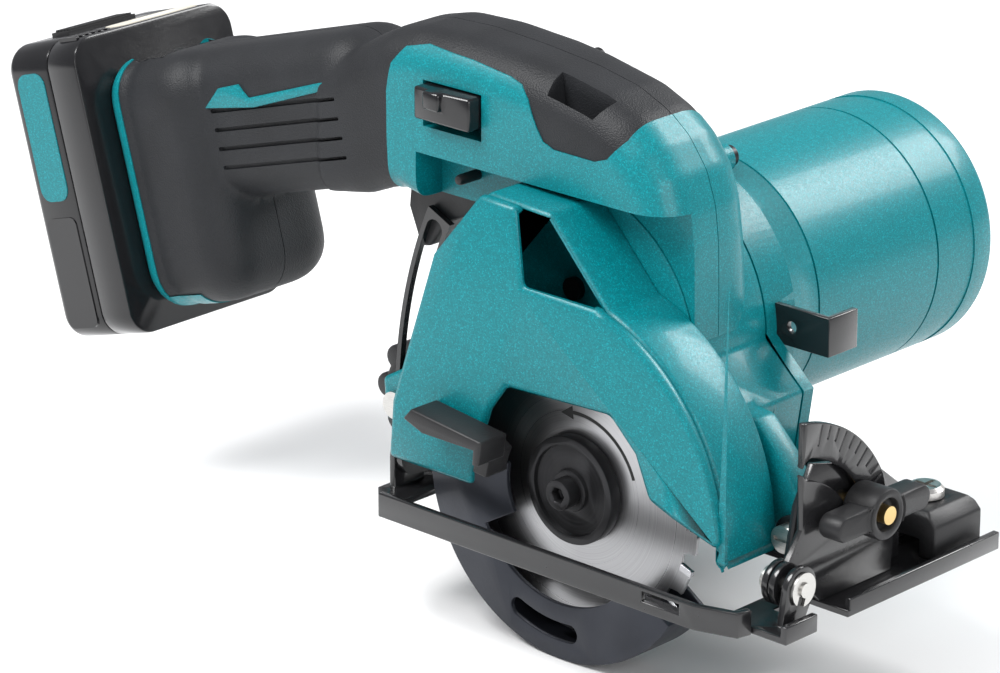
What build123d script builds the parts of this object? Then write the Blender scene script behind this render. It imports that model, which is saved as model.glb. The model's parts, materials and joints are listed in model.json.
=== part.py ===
from build123d import *
import math
import os

# A compact battery circular saw. Millimetres. X is the feed direction, Y points to the motor, Z is up.
# The origin is on the sole plane, in the blade's plane, straight below the blade's axis.

# ---- Blade and cut ----
BLADE_D = 85.0
BLADE_T = 1.0
BLADE_BORE = 15.0
BLADE_TEETH = 20
TOOTH_H = 4.0
TIP_T = 1.4
TIP_W = 1.6
CUT_DEPTH = 25.5
AXIS_Z = BLADE_D / 2 - CUT_DEPTH
FLANGE_D = 30.4
FLANGE_T = 4.0
BOLT_D = 5.0
BOLT_HEAD_D = 8.5
BOLT_HEAD_H = 4.5
HEX_KEY = 4.0

# ---- Drive ----
SPINDLE_D = 10.0
SPINDLE_GAP = 0.03
STAGE_1 = {"module": 0.8, "pinion": 9, "wheel": 54}
STAGE_2 = {"module": 1.0, "pinion": 11, "wheel": 23}
PRESSURE_ANGLE = math.radians(25)
ADDENDUM = 0.8
DEDENDUM = 1.05
BACKLASH = 0.12
WHEEL_T = 6.0
MOTOR_DISTANCE = 40.8
MOTOR_ANGLE = 104.5
LAYSHAFT_D = 6.0
MOTOR_SHAFT_D = 4.0
BEARING_OD = 26.0
BEARING_T = 8.0
SMALL_BEARING_OD = 17.0
SMALL_BEARING_T = 5.0

# ---- Places along Y ----
COVER_Y = -14.0
SEAM_Y = -10.0
CASE_BACK_Y = 10.4
GEARBOX_BACK_Y = 40.0
MOTOR_END_Y = 145.4
HAND_Y = 20.0

# ---- Lower guard and blade case ----
GUARD_GAP = 5.0
GUARD_T = 1.5
GUARD_NEAR_Y = -8.5
GUARD_FAR_Y = 7.6
GUARD_FRONT_DEG = -34.0
GUARD_REAR_DEG = -192.0
GUARD_RING_D = 34.0
NOSE_D = 26.0
NOSE_GAP = 0.05
CASE_GAP = 12.5
CASE_T = 2.2
CASE_FLOOR = 14.0
CASE_R = BLADE_D / 2 + GUARD_GAP + CASE_GAP
GUARD_R = BLADE_D / 2 + GUARD_GAP
CASE_REAR_X = -(CASE_R - 1.5)
CASE_TOP_Z = AXIS_Z + CASE_R + 20.0

# ---- Gear housing and motor ----
GEARBOX_R = 41.0
GEARBOX_T = 2.4
MOTOR_R = 37.2
MOTOR_T = 2.4
CAN_R = 27.0
CAN_T = 1.6
CAN_L = 62.0
MAGNET_T = 5.0
ROTOR_GAP = 0.6
NECK_L = 8.0
FAN_R = 25.0

# ---- Handle, in a frame that leans with the battery ----
LEAN = 16.0
REAR_X = -175.5
REAR_Z = AXIS_Z + 45.0
GRIP_W = 36.0
GRIP_H = 45.0
GRIP_R = 14.0
GRIP_UP = 14.5
GRIP_L = 104.0
FOOT_W = 50.0
FOOT_H = 75.0
FOOT_L = 36.0
FOOT_R = 14.0
FOOT_LIP = 6.0
RUBBER_T = 1.8
SHELL_T = 2.4
BODY_W = 40.0
BODY_TOP_Z = AXIS_Z + 116.0
BODY_FRONT_X = 30.0

# ---- Battery ----
BATTERY_W = 62.0
BATTERY_H = 88.0
BATTERY_L = 31.5
BATTERY_UP = 2.0
BATTERY_R = 8.0
BATTERY_T = 2.0
BATTERY_SPLIT = 13.0
BATTERY_EDGE_R = 3.0
STUB_W = 28.0
STUB_H = 52.0
STUB_L = 18.0
STUB_GAP = 0.4
CELL_D = 18.2
CELL_L = 65.0

# ---- Base and its hinges ----
SHEET_T = 2.0
BASE_FRONT_X = 84.0
BASE_REAR_X = -66.0
BASE_LEFT_Y = 75.0
BASE_RIGHT_Y = -22.6
RAIL_W = 5.6
RAIL_H = 7.0
WINDOW_LEFT_Y = 29.0
WINDOW_FRONT_X = 62.0
WINDOW_REAR_X = -54.0
LIP_H = 5.0
BEVEL_Y = -2.0
BEVEL_Z = 10.7
BEVEL_PIN_D = 4.0
BEVEL_EAR_R = 6.0
BEVEL_RANGE = 45.0
PIN_GAP = 0.05
DEPTH_X = 64.5
DEPTH_Z = AXIS_Z + 0.5
DEPTH_BOSS_R = 5.0
DEPTH_EAR_R = 5.5
DEPTH_PIN_D = 5.0
DEPTH_RANGE = 22.0
CLAMP_X = -75.5
CLAMP_Z = AXIS_Z + 2.2
CLAMP_D = 5.0
BRACKET_X = 70.2
QUADRANT_X = BRACKET_X + SHEET_T + 0.4
QUADRANT_SLOT_R = 30.5
QUADRANT_R = 43.0
BEVEL_BOLT_DEG = 28.0
BEVEL_BOLT_D = 5.0
SLOT_GAP = 0.5
WING_SPAN = 38.0
KNOB_R = 16.6
KNOB_LOBES = 8
KNOB_L = 11.5

os.makedirs("parts", exist_ok=True)


# ---- Helpers ----
def slab(sketch, low, high):
    """A sketch drawn in X and Z, made solid from y = low to y = high."""
    return extrude(Plane.XZ.offset(-high) * sketch, high - low)


def panel(sketch, low, high):
    """A sketch drawn in Y and Z, made solid from x = low to x = high."""
    return extrude(Plane.YZ.offset(low) * sketch, high - low)


def plate(sketch, low, high):
    """A sketch drawn in X and Y, made solid from z = low to z = high."""
    return extrude(Plane.XY.offset(low) * sketch, high - low)


def rod_y(x, z, radius, low, high):
    return slab(Pos(x, z) * Circle(radius), low, high)


def rod_x(y, z, radius, low, high):
    return panel(Pos(y, z) * Circle(radius), low, high)


def tube_y(x, z, outer, inner, low, high):
    return slab(Pos(x, z) * (Circle(outer) - Circle(inner)), low, high)


def box(x, y, z):
    """A box between the low and high values of each axis."""
    size = (x[1] - x[0], y[1] - y[0], z[1] - z[0])
    centre = ((x[0] + x[1]) / 2, (y[0] + y[1]) / 2, (z[0] + z[1]) / 2)
    return Pos(*centre) * Box(*size)


def outline(*points):
    """A closed flat shape through the points, in the order given."""
    return make_face(Polyline(*points, close=True))


def rounded(radius, *points):
    shape = outline(*points)
    return fillet(shape.vertices(), radius)


def polar(x, z, radius, degrees):
    angle = math.radians(degrees)
    return (x + radius * math.cos(angle), z + radius * math.sin(angle))


def arc_slot(x, z, radius, half_width, start, end):
    """A slot with round ends along an arc about (x, z), from start to end degrees."""
    ends = Pos(*polar(x, z, radius, start)) * Circle(half_width)
    ends += Pos(*polar(x, z, radius, end)) * Circle(half_width)
    return ring_sector(x, z, radius + half_width, radius - half_width, start, end) + ends


def ring_sector(x, z, outer, inner, start, end):
    """The part of a flat ring about (x, z) from start to end degrees, start the lower."""
    middle = (start + end) / 2
    far = Line(polar(x, z, inner, start), polar(x, z, outer, start))
    rim = ThreePointArc(polar(x, z, outer, start), polar(x, z, outer, middle), polar(x, z, outer, end))
    near = Line(polar(x, z, outer, end), polar(x, z, inner, end))
    bore = ThreePointArc(polar(x, z, inner, end), polar(x, z, inner, middle), polar(x, z, inner, start))
    return make_face(Wire([far, rim, near, bore]))


def save(name, shape):
    export_step(shape, f"parts/{name}.step")


# ---- Gear train, all axes along Y ----
SPINDLE = (0.0, AXIS_Z)
MOTOR = polar(*SPINDLE, MOTOR_DISTANCE, MOTOR_ANGLE)
REACH_1 = STAGE_1["module"] * (STAGE_1["pinion"] + STAGE_1["wheel"]) / 2
REACH_2 = STAGE_2["module"] * (STAGE_2["pinion"] + STAGE_2["wheel"]) / 2
LAY_TURN = math.degrees(math.acos(
    (REACH_2**2 + MOTOR_DISTANCE**2 - REACH_1**2) / (2 * REACH_2 * MOTOR_DISTANCE)))
LAYSHAFT = polar(*SPINDLE, REACH_2, MOTOR_ANGLE - LAY_TURN)
SPINDLE_TO_LAY = MOTOR_ANGLE - LAY_TURN
LAY_TO_MOTOR = math.degrees(math.atan2(MOTOR[1] - LAYSHAFT[1], MOTOR[0] - LAYSHAFT[0]))

FRONT_BEARING_Y = CASE_BACK_Y + 1.2
WHEEL_2_Y = FRONT_BEARING_Y + BEARING_T + 0.6
REAR_BEARING_Y = WHEEL_2_Y + WHEEL_T + 0.4
WHEEL_1_Y = REAR_BEARING_Y + SMALL_BEARING_T + 1.6
WHEEL_1_T = 5.0
LAY_BUSH_Y = FRONT_BEARING_Y + 2.0
LAY_BUSH_T = 4.0
BACK_BUSH_Y = GEARBOX_BACK_Y - 0.5


def gear(place, size, teeth, start_deg, low, high, bore):
    """An involute spur gear about an axis along Y, with tooth 0 centred at start_deg."""
    module = size["module"]
    pitch = module * teeth / 2
    base = pitch * math.cos(PRESSURE_ANGLE)
    tip = pitch + ADDENDUM * module
    root = pitch - DEDENDUM * module
    involute_at_pitch = math.tan(PRESSURE_ANGLE) - PRESSURE_ANGLE
    half_tooth = math.pi / (2 * teeth) - BACKLASH / (4 * pitch)
    flank = [(root, half_tooth + involute_at_pitch)] if root < base else []
    steps = 4
    lowest = max(base, root)
    for i in range(steps + 1):
        radius = lowest + (tip - lowest) * i / steps
        roll = math.acos(min(1.0, base / radius))
        flank.append((radius, half_tooth + involute_at_pitch - (math.tan(roll) - roll)))
    points = []
    for tooth in range(teeth):
        centre = math.radians(start_deg) + 2 * math.pi * tooth / teeth
        for radius, half in flank:
            points.append(polar(*place, radius, math.degrees(centre - half)))
        for radius, half in reversed(flank):
            points.append(polar(*place, radius, math.degrees(centre + half)))
    return slab(outline(*points) - Pos(*place) * Circle(bore), low, high)


def make_drive():
    wheel_2 = gear(SPINDLE, STAGE_2, STAGE_2["wheel"], SPINDLE_TO_LAY, WHEEL_2_Y, WHEEL_2_Y + WHEEL_T,
                   SPINDLE_D / 2)
    save("spindle_gear", wheel_2)
    half_step = 180 / STAGE_2["pinion"]
    pinion_2 = gear(LAYSHAFT, STAGE_2, STAGE_2["pinion"], SPINDLE_TO_LAY + 180 + half_step,
                    WHEEL_2_Y - 0.4, WHEEL_2_Y + WHEEL_T + 0.4, LAYSHAFT_D / 4)
    wheel_1 = gear(LAYSHAFT, STAGE_1, STAGE_1["wheel"], LAY_TO_MOTOR, WHEEL_1_Y, WHEEL_1_Y + WHEEL_1_T,
                   LAYSHAFT_D / 2)
    save("layshaft_gear", wheel_1)
    save("layshaft", rod_y(*LAYSHAFT, LAYSHAFT_D / 2, LAY_BUSH_Y, BACK_BUSH_Y + LAY_BUSH_T) + pinion_2)
    bush_r = LAYSHAFT_D / 2 + 1.0
    front = tube_y(*LAYSHAFT, bush_r, LAYSHAFT_D / 2 + SPINDLE_GAP, LAY_BUSH_Y, LAY_BUSH_Y + LAY_BUSH_T)
    back = tube_y(*LAYSHAFT, bush_r, LAYSHAFT_D / 2 + SPINDLE_GAP, BACK_BUSH_Y, BACK_BUSH_Y + LAY_BUSH_T)
    save("layshaft_bushes", Compound([front, back]))
    half_step = 180 / STAGE_1["pinion"]
    pinion_1 = gear(MOTOR, STAGE_1, STAGE_1["pinion"], LAY_TO_MOTOR + 180 + half_step,
                    WHEEL_1_Y - 0.5, WHEEL_1_Y + WHEEL_1_T + 0.5, MOTOR_SHAFT_D / 2)
    save("motor_pinion", pinion_1)


# ---- Arbor: what turns with the blade ----
FLANGE_SEAT = BLADE_T / 2
SPINDLE_NOSE_Y = -FLANGE_SEAT - 1.5


def make_arbor():
    spindle = rod_y(*SPINDLE, SPINDLE_D / 2, FLANGE_SEAT + FLANGE_T, REAR_BEARING_Y + SMALL_BEARING_T)
    pilot_r = 4.0
    spindle += rod_y(*SPINDLE, pilot_r, SPINDLE_NOSE_Y + 2.5, FLANGE_SEAT + FLANGE_T)
    spindle -= rod_y(*SPINDLE, BOLT_D / 2, SPINDLE_NOSE_Y, SPINDLE_NOSE_Y + 16.0)
    save("spindle", spindle)
    inner = rod_y(*SPINDLE, FLANGE_D / 2 - 1.0, FLANGE_SEAT, FLANGE_SEAT + FLANGE_T)
    inner += rod_y(*SPINDLE, BLADE_BORE / 2 - 0.03, -FLANGE_SEAT + 0.1, FLANGE_SEAT)
    inner -= rod_y(*SPINDLE, pilot_r, -FLANGE_SEAT, FLANGE_SEAT + FLANGE_T)
    inner -= tube_y(*SPINDLE, FLANGE_D / 2 - 4.0, BLADE_BORE / 2 + 1.0, FLANGE_SEAT, FLANGE_SEAT + 0.8)
    save("inner_flange", inner)
    disc = Pos(*SPINDLE) * Circle(BLADE_D / 2 - 0.4) - Pos(*SPINDLE) * Circle(BLADE_BORE / 2)
    tip_sketch = Sketch()
    for i in range(BLADE_TEETH):
        angle = 360 * i / BLADE_TEETH
        gullet = Pos(*SPINDLE) * Rot(0, 0, angle) * Pos(BLADE_D / 2, 0) * outline(
            (1.0, -0.2), (-TOOTH_H, 0.2), (-TOOTH_H - 0.6, 3.0), (-TOOTH_H * 0.5, 4.6), (1.0, 5.2))
        disc -= gullet
        tip_sketch += Pos(*SPINDLE) * Rot(0, 0, angle) * Pos(BLADE_D / 2 - TOOTH_H / 2,
                                                             -TIP_W / 2 - 0.2) * Rectangle(
            TOOTH_H, TIP_W)
    for i in range(BLADE_TEETH // 5):
        slot_at = polar(*SPINDLE, BLADE_D / 2 - 9.0, 360 * 5 * i / BLADE_TEETH + 22.0)
        disc -= Pos(*slot_at) * Circle(1.3)
    save("saw_blade", slab(disc - tip_sketch, -BLADE_T / 2, BLADE_T / 2))
    save("blade_tips", slab(tip_sketch, -TIP_T / 2, TIP_T / 2))
    outer = rod_y(*SPINDLE, FLANGE_D / 2, -FLANGE_SEAT - FLANGE_T, -FLANGE_SEAT)
    outer -= tube_y(*SPINDLE, FLANGE_D / 2 - 2.5, BOLT_HEAD_D / 2 + 1.6, -FLANGE_SEAT - FLANGE_T,
                    -FLANGE_SEAT - FLANGE_T + 1.5)
    outer -= rod_y(*SPINDLE, BOLT_D / 2 + 0.1, -FLANGE_SEAT - FLANGE_T, -FLANGE_SEAT)
    save("outer_flange", outer)
    head_y = -FLANGE_SEAT - FLANGE_T
    bolt = rod_y(*SPINDLE, BOLT_HEAD_D / 2, head_y - BOLT_HEAD_H, head_y)
    bolt += rod_y(*SPINDLE, BOLT_D / 2, head_y, SPINDLE_NOSE_Y + 15.0)
    bolt -= slab(Pos(*SPINDLE) * RegularPolygon(HEX_KEY / 2, 6, major_radius=False),
                 head_y - BOLT_HEAD_H, head_y - 1.5)
    save("blade_bolt", bolt)


def make_bearings():
    save("spindle_front_bearing", tube_y(*SPINDLE, BEARING_OD / 2, SPINDLE_D / 2 + SPINDLE_GAP,
                                         FRONT_BEARING_Y, FRONT_BEARING_Y + BEARING_T))
    save("spindle_rear_bearing", tube_y(*SPINDLE, SMALL_BEARING_OD / 2, SPINDLE_D / 2 + SPINDLE_GAP,
                                        REAR_BEARING_Y, REAR_BEARING_Y + SMALL_BEARING_T))


# ---- Gear housing ----
NOSE_FRONT_Y = 5.4
RIB_Y = REAR_BEARING_Y + SMALL_BEARING_T
NECK_Y = GEARBOX_BACK_Y + 4.0
ROTOR_BEARING_R = 6.5
CASE_SCREW_R = 1.6
CASE_SCREW_REACH = CASE_R - 7.0
CASE_SCREWS = [polar(*SPINDLE, CASE_SCREW_REACH, angle) for angle in (58.0, 100.0, 140.0)]


GEAR_TIP = STAGE_2["module"] * (STAGE_2["wheel"] / 2 + ADDENDUM)
GEARBOX_LOW_Z = AXIS_Z - GEAR_TIP - 0.7 - GEARBOX_T
GEARBOX_STEP_Y = WHEEL_2_Y + WHEEL_T + 1.8
GEARBOX_HIGH_Z = AXIS_Z - SMALL_BEARING_OD / 2 - 2.2
HOLLOW_Y = WHEEL_2_Y - 0.6
ARM_Y = (CASE_BACK_Y + 2.7, CASE_BACK_Y + 10.6)


def gearbox_sketch(inset, low):
    """The gear housing's outline: round the motor, narrowing to the spindle at the bottom."""
    low_z = low + inset
    side = GEARBOX_R - inset
    shape = Pos(*MOTOR) * Circle(side)
    shape += outline(
        (MOTOR[0] - side, MOTOR[1]), (-30.0 + inset, low_z + 14.0), (-14.0 + inset * 0.5, low_z),
        (16.0 - inset * 0.5, low_z), (40.0 - inset, low_z + 12.0), (44.0 - inset,
                                                                    MOTOR[1] - 12.0), (MOTOR[0] + side,
                                                                                       MOTOR[1]))
    return shape


def make_gear_housing():
    outer = slab(gearbox_sketch(0, GEARBOX_LOW_Z), CASE_BACK_Y, GEARBOX_STEP_Y)
    outer += slab(gearbox_sketch(0, GEARBOX_HIGH_Z), GEARBOX_STEP_Y, GEARBOX_BACK_Y)
    outer -= slab(gearbox_sketch(GEARBOX_T, GEARBOX_LOW_Z), HOLLOW_Y, GEARBOX_STEP_Y - GEARBOX_T / 2)
    outer -= slab(gearbox_sketch(GEARBOX_T, GEARBOX_HIGH_Z), HOLLOW_Y, GEARBOX_BACK_Y)
    outer += rod_y(*SPINDLE, NOSE_D / 2, NOSE_FRONT_Y, CASE_BACK_Y)
    seat = rod_y(*SPINDLE, SMALL_BEARING_OD / 2 + 2.0, REAR_BEARING_Y, RIB_Y)
    seat += box((-36.0, 36.0), (REAR_BEARING_Y, RIB_Y), (AXIS_Z - 3.0, AXIS_Z + 1.0))
    outer += seat & slab(gearbox_sketch(GEARBOX_T / 2, GEARBOX_HIGH_Z), REAR_BEARING_Y, RIB_Y)
    outer -= rod_y(*SPINDLE, SMALL_BEARING_OD / 2, REAR_BEARING_Y, RIB_Y)
    outer -= rod_y(*SPINDLE, BEARING_OD / 2, FRONT_BEARING_Y, HOLLOW_Y)
    outer -= rod_y(*SPINDLE, SPINDLE_D / 2 + 1.0, NOSE_FRONT_Y, FRONT_BEARING_Y)
    outer -= rod_y(*LAYSHAFT, LAYSHAFT_D / 2 + 1.0, LAY_BUSH_Y, LAY_BUSH_Y + LAY_BUSH_T)
    outer -= rod_y(*LAYSHAFT, LAYSHAFT_D / 2 + 1.6, LAY_BUSH_Y + LAY_BUSH_T, HOLLOW_Y)
    arm = slab(outline((34.0, GEARBOX_LOW_Z + 10.0), (54.0, DEPTH_Z - DEPTH_BOSS_R - 1.0),
                       (DEPTH_X, DEPTH_Z - DEPTH_BOSS_R),
                       (DEPTH_X + DEPTH_BOSS_R, DEPTH_Z), (DEPTH_X + 2.0, DEPTH_Z + 8.5), (58.0,
                                                                                           DEPTH_Z + 20.0),
                       (50.0, DEPTH_Z + 28.0), (34.0, DEPTH_Z + 30.0)), *ARM_Y)
    arm -= slab(gearbox_sketch(GEARBOX_T / 2, GEARBOX_LOW_Z), *ARM_Y)
    outer += arm
    outer += rod_y(DEPTH_X, DEPTH_Z, DEPTH_BOSS_R, *ARM_Y)
    outer -= rod_y(DEPTH_X, DEPTH_Z, DEPTH_PIN_D / 2, *ARM_Y)
    for x, z in CASE_SCREWS:
        outer -= rod_y(x, z, CASE_SCREW_R, CASE_BACK_Y, CASE_BACK_Y + 7.0)
    save("gear_housing", outer)
    lid = slab(gearbox_sketch(0, GEARBOX_HIGH_Z), GEARBOX_BACK_Y, NECK_Y)
    lid -= rod_y(*LAYSHAFT, LAYSHAFT_D / 2 + 1.0, GEARBOX_BACK_Y, BACK_BUSH_Y + LAY_BUSH_T)
    lid -= rod_y(*MOTOR, ROTOR_BEARING_R, GEARBOX_BACK_Y, NECK_Y)
    vents = Pos(*MOTOR) * (Circle(24.0) - Circle(ROTOR_BEARING_R + 4.0))
    vents &= Pos(MOTOR[0], MOTOR[1] + 22.0) * Rectangle(60.0, 32.0)
    lid -= slab(vents, GEARBOX_BACK_Y, NECK_Y)
    save("gear_housing_cover", lid)
    screws = [rod_y(x, z, CASE_SCREW_R, CASE_BACK_Y - CASE_T, CASE_BACK_Y + 7.0)
              + rod_y(x, z, 2 * CASE_SCREW_R, CASE_BACK_Y - CASE_T - 1.8,
                      CASE_BACK_Y - CASE_T) for x, z in CASE_SCREWS]
    save("case_screws", Compound(screws))


# ---- Motor ----
CAN_Y = NECK_Y + 12.0
BRUSH_Y = CAN_Y + CAN_L + 4.0


def make_motor():
    body = rod_y(*MOTOR, MOTOR_R, NECK_Y + NECK_L, MOTOR_END_Y)
    body += rod_y(*MOTOR, GEARBOX_R, NECK_Y, NECK_Y + NECK_L) - hook_leg()
    body -= rod_y(*MOTOR, MOTOR_R - MOTOR_T, NECK_Y, MOTOR_END_Y - MOTOR_T)
    body = fillet(body.edges().filter_by(GeomType.CIRCLE).sort_by(Axis.Y)[-1], 2.0)
    for angle in (76.0, 286.0):
        boss = polar(*MOTOR, MOTOR_R + 3.4, angle)
        body += rod_y(*boss, 4.0, NECK_Y, NECK_Y + NECK_L + 6.0) - rod_y(*MOTOR, MOTOR_R - MOTOR_T,
                                                                         NECK_Y, MOTOR_END_Y)
    screw_list = []
    for angle in (76.0, 286.0):
        boss = polar(*MOTOR, MOTOR_R + 3.4, angle)
        body -= rod_y(*boss, 1.6, NECK_Y, NECK_Y + NECK_L + 6.0)
        screw = rod_y(*boss, 3.0, NECK_Y + NECK_L + 6.0, NECK_Y + NECK_L + 8.5)
        screw += rod_y(*boss, 1.5, NECK_Y + 0.5, NECK_Y + NECK_L + 6.0)
        screw_list.append(screw)
    for angle in (20.0, 60.0, 100.0, 140.0, 180.0, 220.0, 260.0, 300.0, 340.0):
        vent = polar(*MOTOR, MOTOR_R * 0.55, angle)
        body -= slab(Pos(*vent) * Rot(0, 0, angle) * SlotOverall(14.0, 3.0), MOTOR_END_Y - MOTOR_T,
                     MOTOR_END_Y)
    body += tube_y(*MOTOR, ROTOR_BEARING_R + 2.5, ROTOR_BEARING_R, MOTOR_END_Y - 13.0,
                   MOTOR_END_Y - MOTOR_T)
    save("motor_housing", body)
    save("motor_housing_screws", Compound(screw_list))
    can = tube_y(*MOTOR, CAN_R, CAN_R - CAN_T, CAN_Y, CAN_Y + CAN_L)
    can += tube_y(*MOTOR, CAN_R, 8.0, CAN_Y, CAN_Y + CAN_T)
    save("motor_can", can)
    magnet_r = CAN_R - CAN_T
    arcs = [slab(ring_sector(*MOTOR, magnet_r, magnet_r - MAGNET_T, low, low + 130.0), CAN_Y + 6.0,
                 CAN_Y + CAN_L - 6.0)
            for low in (25.0, 205.0)]
    save("motor_magnets", Compound(arcs))
    rotor_r = magnet_r - MAGNET_T - ROTOR_GAP
    shaft = rod_y(*MOTOR, MOTOR_SHAFT_D / 2, WHEEL_1_Y - 1.0, MOTOR_END_Y - 8.0)
    save("rotor_shaft", shaft)
    core = tube_y(*MOTOR, rotor_r, MOTOR_SHAFT_D / 2, CAN_Y + 10.0, CAN_Y + CAN_L - 12.0)
    for i in range(12):
        slot = polar(*MOTOR, rotor_r, 30.0 * i)
        core -= slab(Pos(*slot) * Rot(0, 0, 30.0 * i) * Rectangle(5.0, 1.6), CAN_Y + 10.0,
                     CAN_Y + CAN_L - 12.0)
    save("rotor_core", core)
    coil_r = rotor_r - 3.0
    coils = tube_y(*MOTOR, coil_r, 5.0, CAN_Y + 5.0, CAN_Y + 10.0) + tube_y(
        *MOTOR, coil_r, 5.0, CAN_Y + CAN_L - 12.0, CAN_Y + CAN_L - 6.0)
    save("rotor_windings", coils)
    save("commutator", tube_y(*MOTOR, 9.0, MOTOR_SHAFT_D / 2, CAN_Y + CAN_L - 4.0, CAN_Y + CAN_L + 10.0))
    fan = tube_y(*MOTOR, 7.0, MOTOR_SHAFT_D / 2, NECK_Y + 2.6, NECK_Y + 10.0)
    fan += tube_y(*MOTOR, FAN_R, 6.0, NECK_Y + 8.5, NECK_Y + 10.0)
    for i in range(9):
        fan += slab(Pos(*MOTOR) * Rot(0, 0, 40.0 * i) * Pos(15.5, 0) * Rectangle(18.0, 1.4),
                    NECK_Y + 3.0, NECK_Y + 9.0)
    save("cooling_fan", fan)
    bell = tube_y(*MOTOR, CAN_R, 11.0, CAN_Y + CAN_L, CAN_Y + CAN_L + 3.0)
    bell += tube_y(*MOTOR, CAN_R, CAN_R - 3.0, CAN_Y + CAN_L + 3.0, CAN_Y + CAN_L + 12.0)
    save("brush_plate", bell)
    holders = []
    brushes = []
    for side in (-1, 1):
        inner_x = MOTOR[0] + side * 12.0
        outer_x = MOTOR[0] + side * 23.0
        low_x = min(inner_x, outer_x)
        frame = box((low_x, low_x + 11.0), (CAN_Y + CAN_L + 3.0, CAN_Y + CAN_L + 10.0),
                    (MOTOR[1] - 4.5, MOTOR[1] + 4.5))
        frame -= box((low_x, low_x + 11.0), (CAN_Y + CAN_L + 4.2, CAN_Y + CAN_L + 8.8),
                     (MOTOR[1] - 3.2, MOTOR[1] + 3.2))
        holders.append(frame)
        brush_low = min(MOTOR[0] + side * 9.2, MOTOR[0] + side * 19.0)
        brushes.append(box((brush_low, brush_low + 9.8), (CAN_Y + CAN_L + 4.3, CAN_Y + CAN_L + 8.7),
                           (MOTOR[1] - 3.1, MOTOR[1] + 3.1)))
    save("brush_holders", Compound(holders))
    save("carbon_brushes", Compound(brushes))
    front = tube_y(*MOTOR, ROTOR_BEARING_R, MOTOR_SHAFT_D / 2 + SPINDLE_GAP, GEARBOX_BACK_Y,
                   GEARBOX_BACK_Y + 4.0)
    rear = tube_y(*MOTOR, ROTOR_BEARING_R, MOTOR_SHAFT_D / 2 + SPINDLE_GAP, MOTOR_END_Y - 13.0,
                  MOTOR_END_Y - 9.0)
    save("rotor_bearings", Compound([front, rear]))


# ---- Blade case and its cover ----
def case_sketch(inset):
    """The blade case from the side: round at the front, with a high shoulder at the back."""
    radius = CASE_R - inset
    start = polar(*SPINDLE, radius, 72.0)
    middle = polar(*SPINDLE, radius, 34.0)
    end = polar(*SPINDLE, radius, -3.0)
    rear = CASE_REAR_X + inset
    top = CASE_TOP_Z - inset
    rim = ThreePointArc(end, middle, start)
    rest = Polyline(start, (-2.0, top - 1.0), (rear + 34.5, top), (rear + 17.5, top - 20.0),
                    (rear + 1.5, AXIS_Z + 14.0), (rear, CASE_FLOOR if inset == 0 else -60.0),
                    (end[0], CASE_FLOOR if inset == 0 else -60.0), end)
    return make_face(Wire([rim, *rest.edges()]))


def window_sketch():
    """The opening in the cover that shows the blade and its bolt."""
    return outline((-27.5, -60.0), (-27.0, AXIS_Z + 1.4), (-20.4, AXIS_Z + 20.4), (-14.5, AXIS_Z + 28.5),
                   (22.5, AXIS_Z + 30.0), (31.5, AXIS_Z + 21.5), (36.4, AXIS_Z + 10.0), (44.5,
                                                                                         AXIS_Z + 7.0),
                   (CASE_R - 1.5, AXIS_Z + 3.0), (CASE_R + 20.0, AXIS_Z + 3.0), (CASE_R + 20.0, -60.0))


def make_case():
    wall = slab(case_sketch(0), SEAM_Y, CASE_BACK_Y)
    wall -= slab(case_sketch(CASE_T), SEAM_Y, CASE_BACK_Y - CASE_T)
    wall -= rod_y(*SPINDLE, NOSE_D / 2, CASE_BACK_Y - CASE_T, CASE_BACK_Y)
    lug = outline((CASE_REAR_X + 4.0, CLAMP_Z + 1.5), (CLAMP_X + 9.0, CLAMP_Z + 1.5),
                  (CLAMP_X + 6.0, CLAMP_Z - 6.0),
                  (CLAMP_X - 6.0, CLAMP_Z - 6.0), (CLAMP_X - 7.0, CLAMP_Z + 6.0), (CASE_REAR_X + 4.0,
                                                                                   CLAMP_Z + 22.0))
    wall += slab(lug, CASE_BACK_Y - CASE_T, CASE_BACK_Y)
    for x, z in CASE_SCREWS:
        wall -= rod_y(x, z, CASE_SCREW_R, CASE_BACK_Y - CASE_T, CASE_BACK_Y)
    wall -= rod_y(CLAMP_X, CLAMP_Z, CLAMP_D / 2, CASE_BACK_Y - CASE_T, CASE_BACK_Y)
    save("blade_case", wall)
    cover = slab(case_sketch(0), COVER_Y, SEAM_Y)
    cover -= slab(case_sketch(CASE_T), COVER_Y + CASE_T, SEAM_Y)
    cover -= slab(window_sketch(), COVER_Y, COVER_Y + CASE_T)
    shoulder = slab(outline((CASE_REAR_X + 47.0, CASE_TOP_Z + 5.0),
                            (CASE_REAR_X + 50.0, CASE_TOP_Z - 22.0),
                            (18.0, CASE_TOP_Z - 22.0), (18.0, CASE_TOP_Z + 5.0)), COVER_Y, SEAM_Y)
    save("case_cover", cover - shoulder)


# ---- Lower guard ----
LEVER_Y = (COVER_Y - 11.0, COVER_Y - 0.6)
TAB_IN_R = GUARD_R - 28.5
TAB_OUT_R = GUARD_R - 23.5


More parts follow.
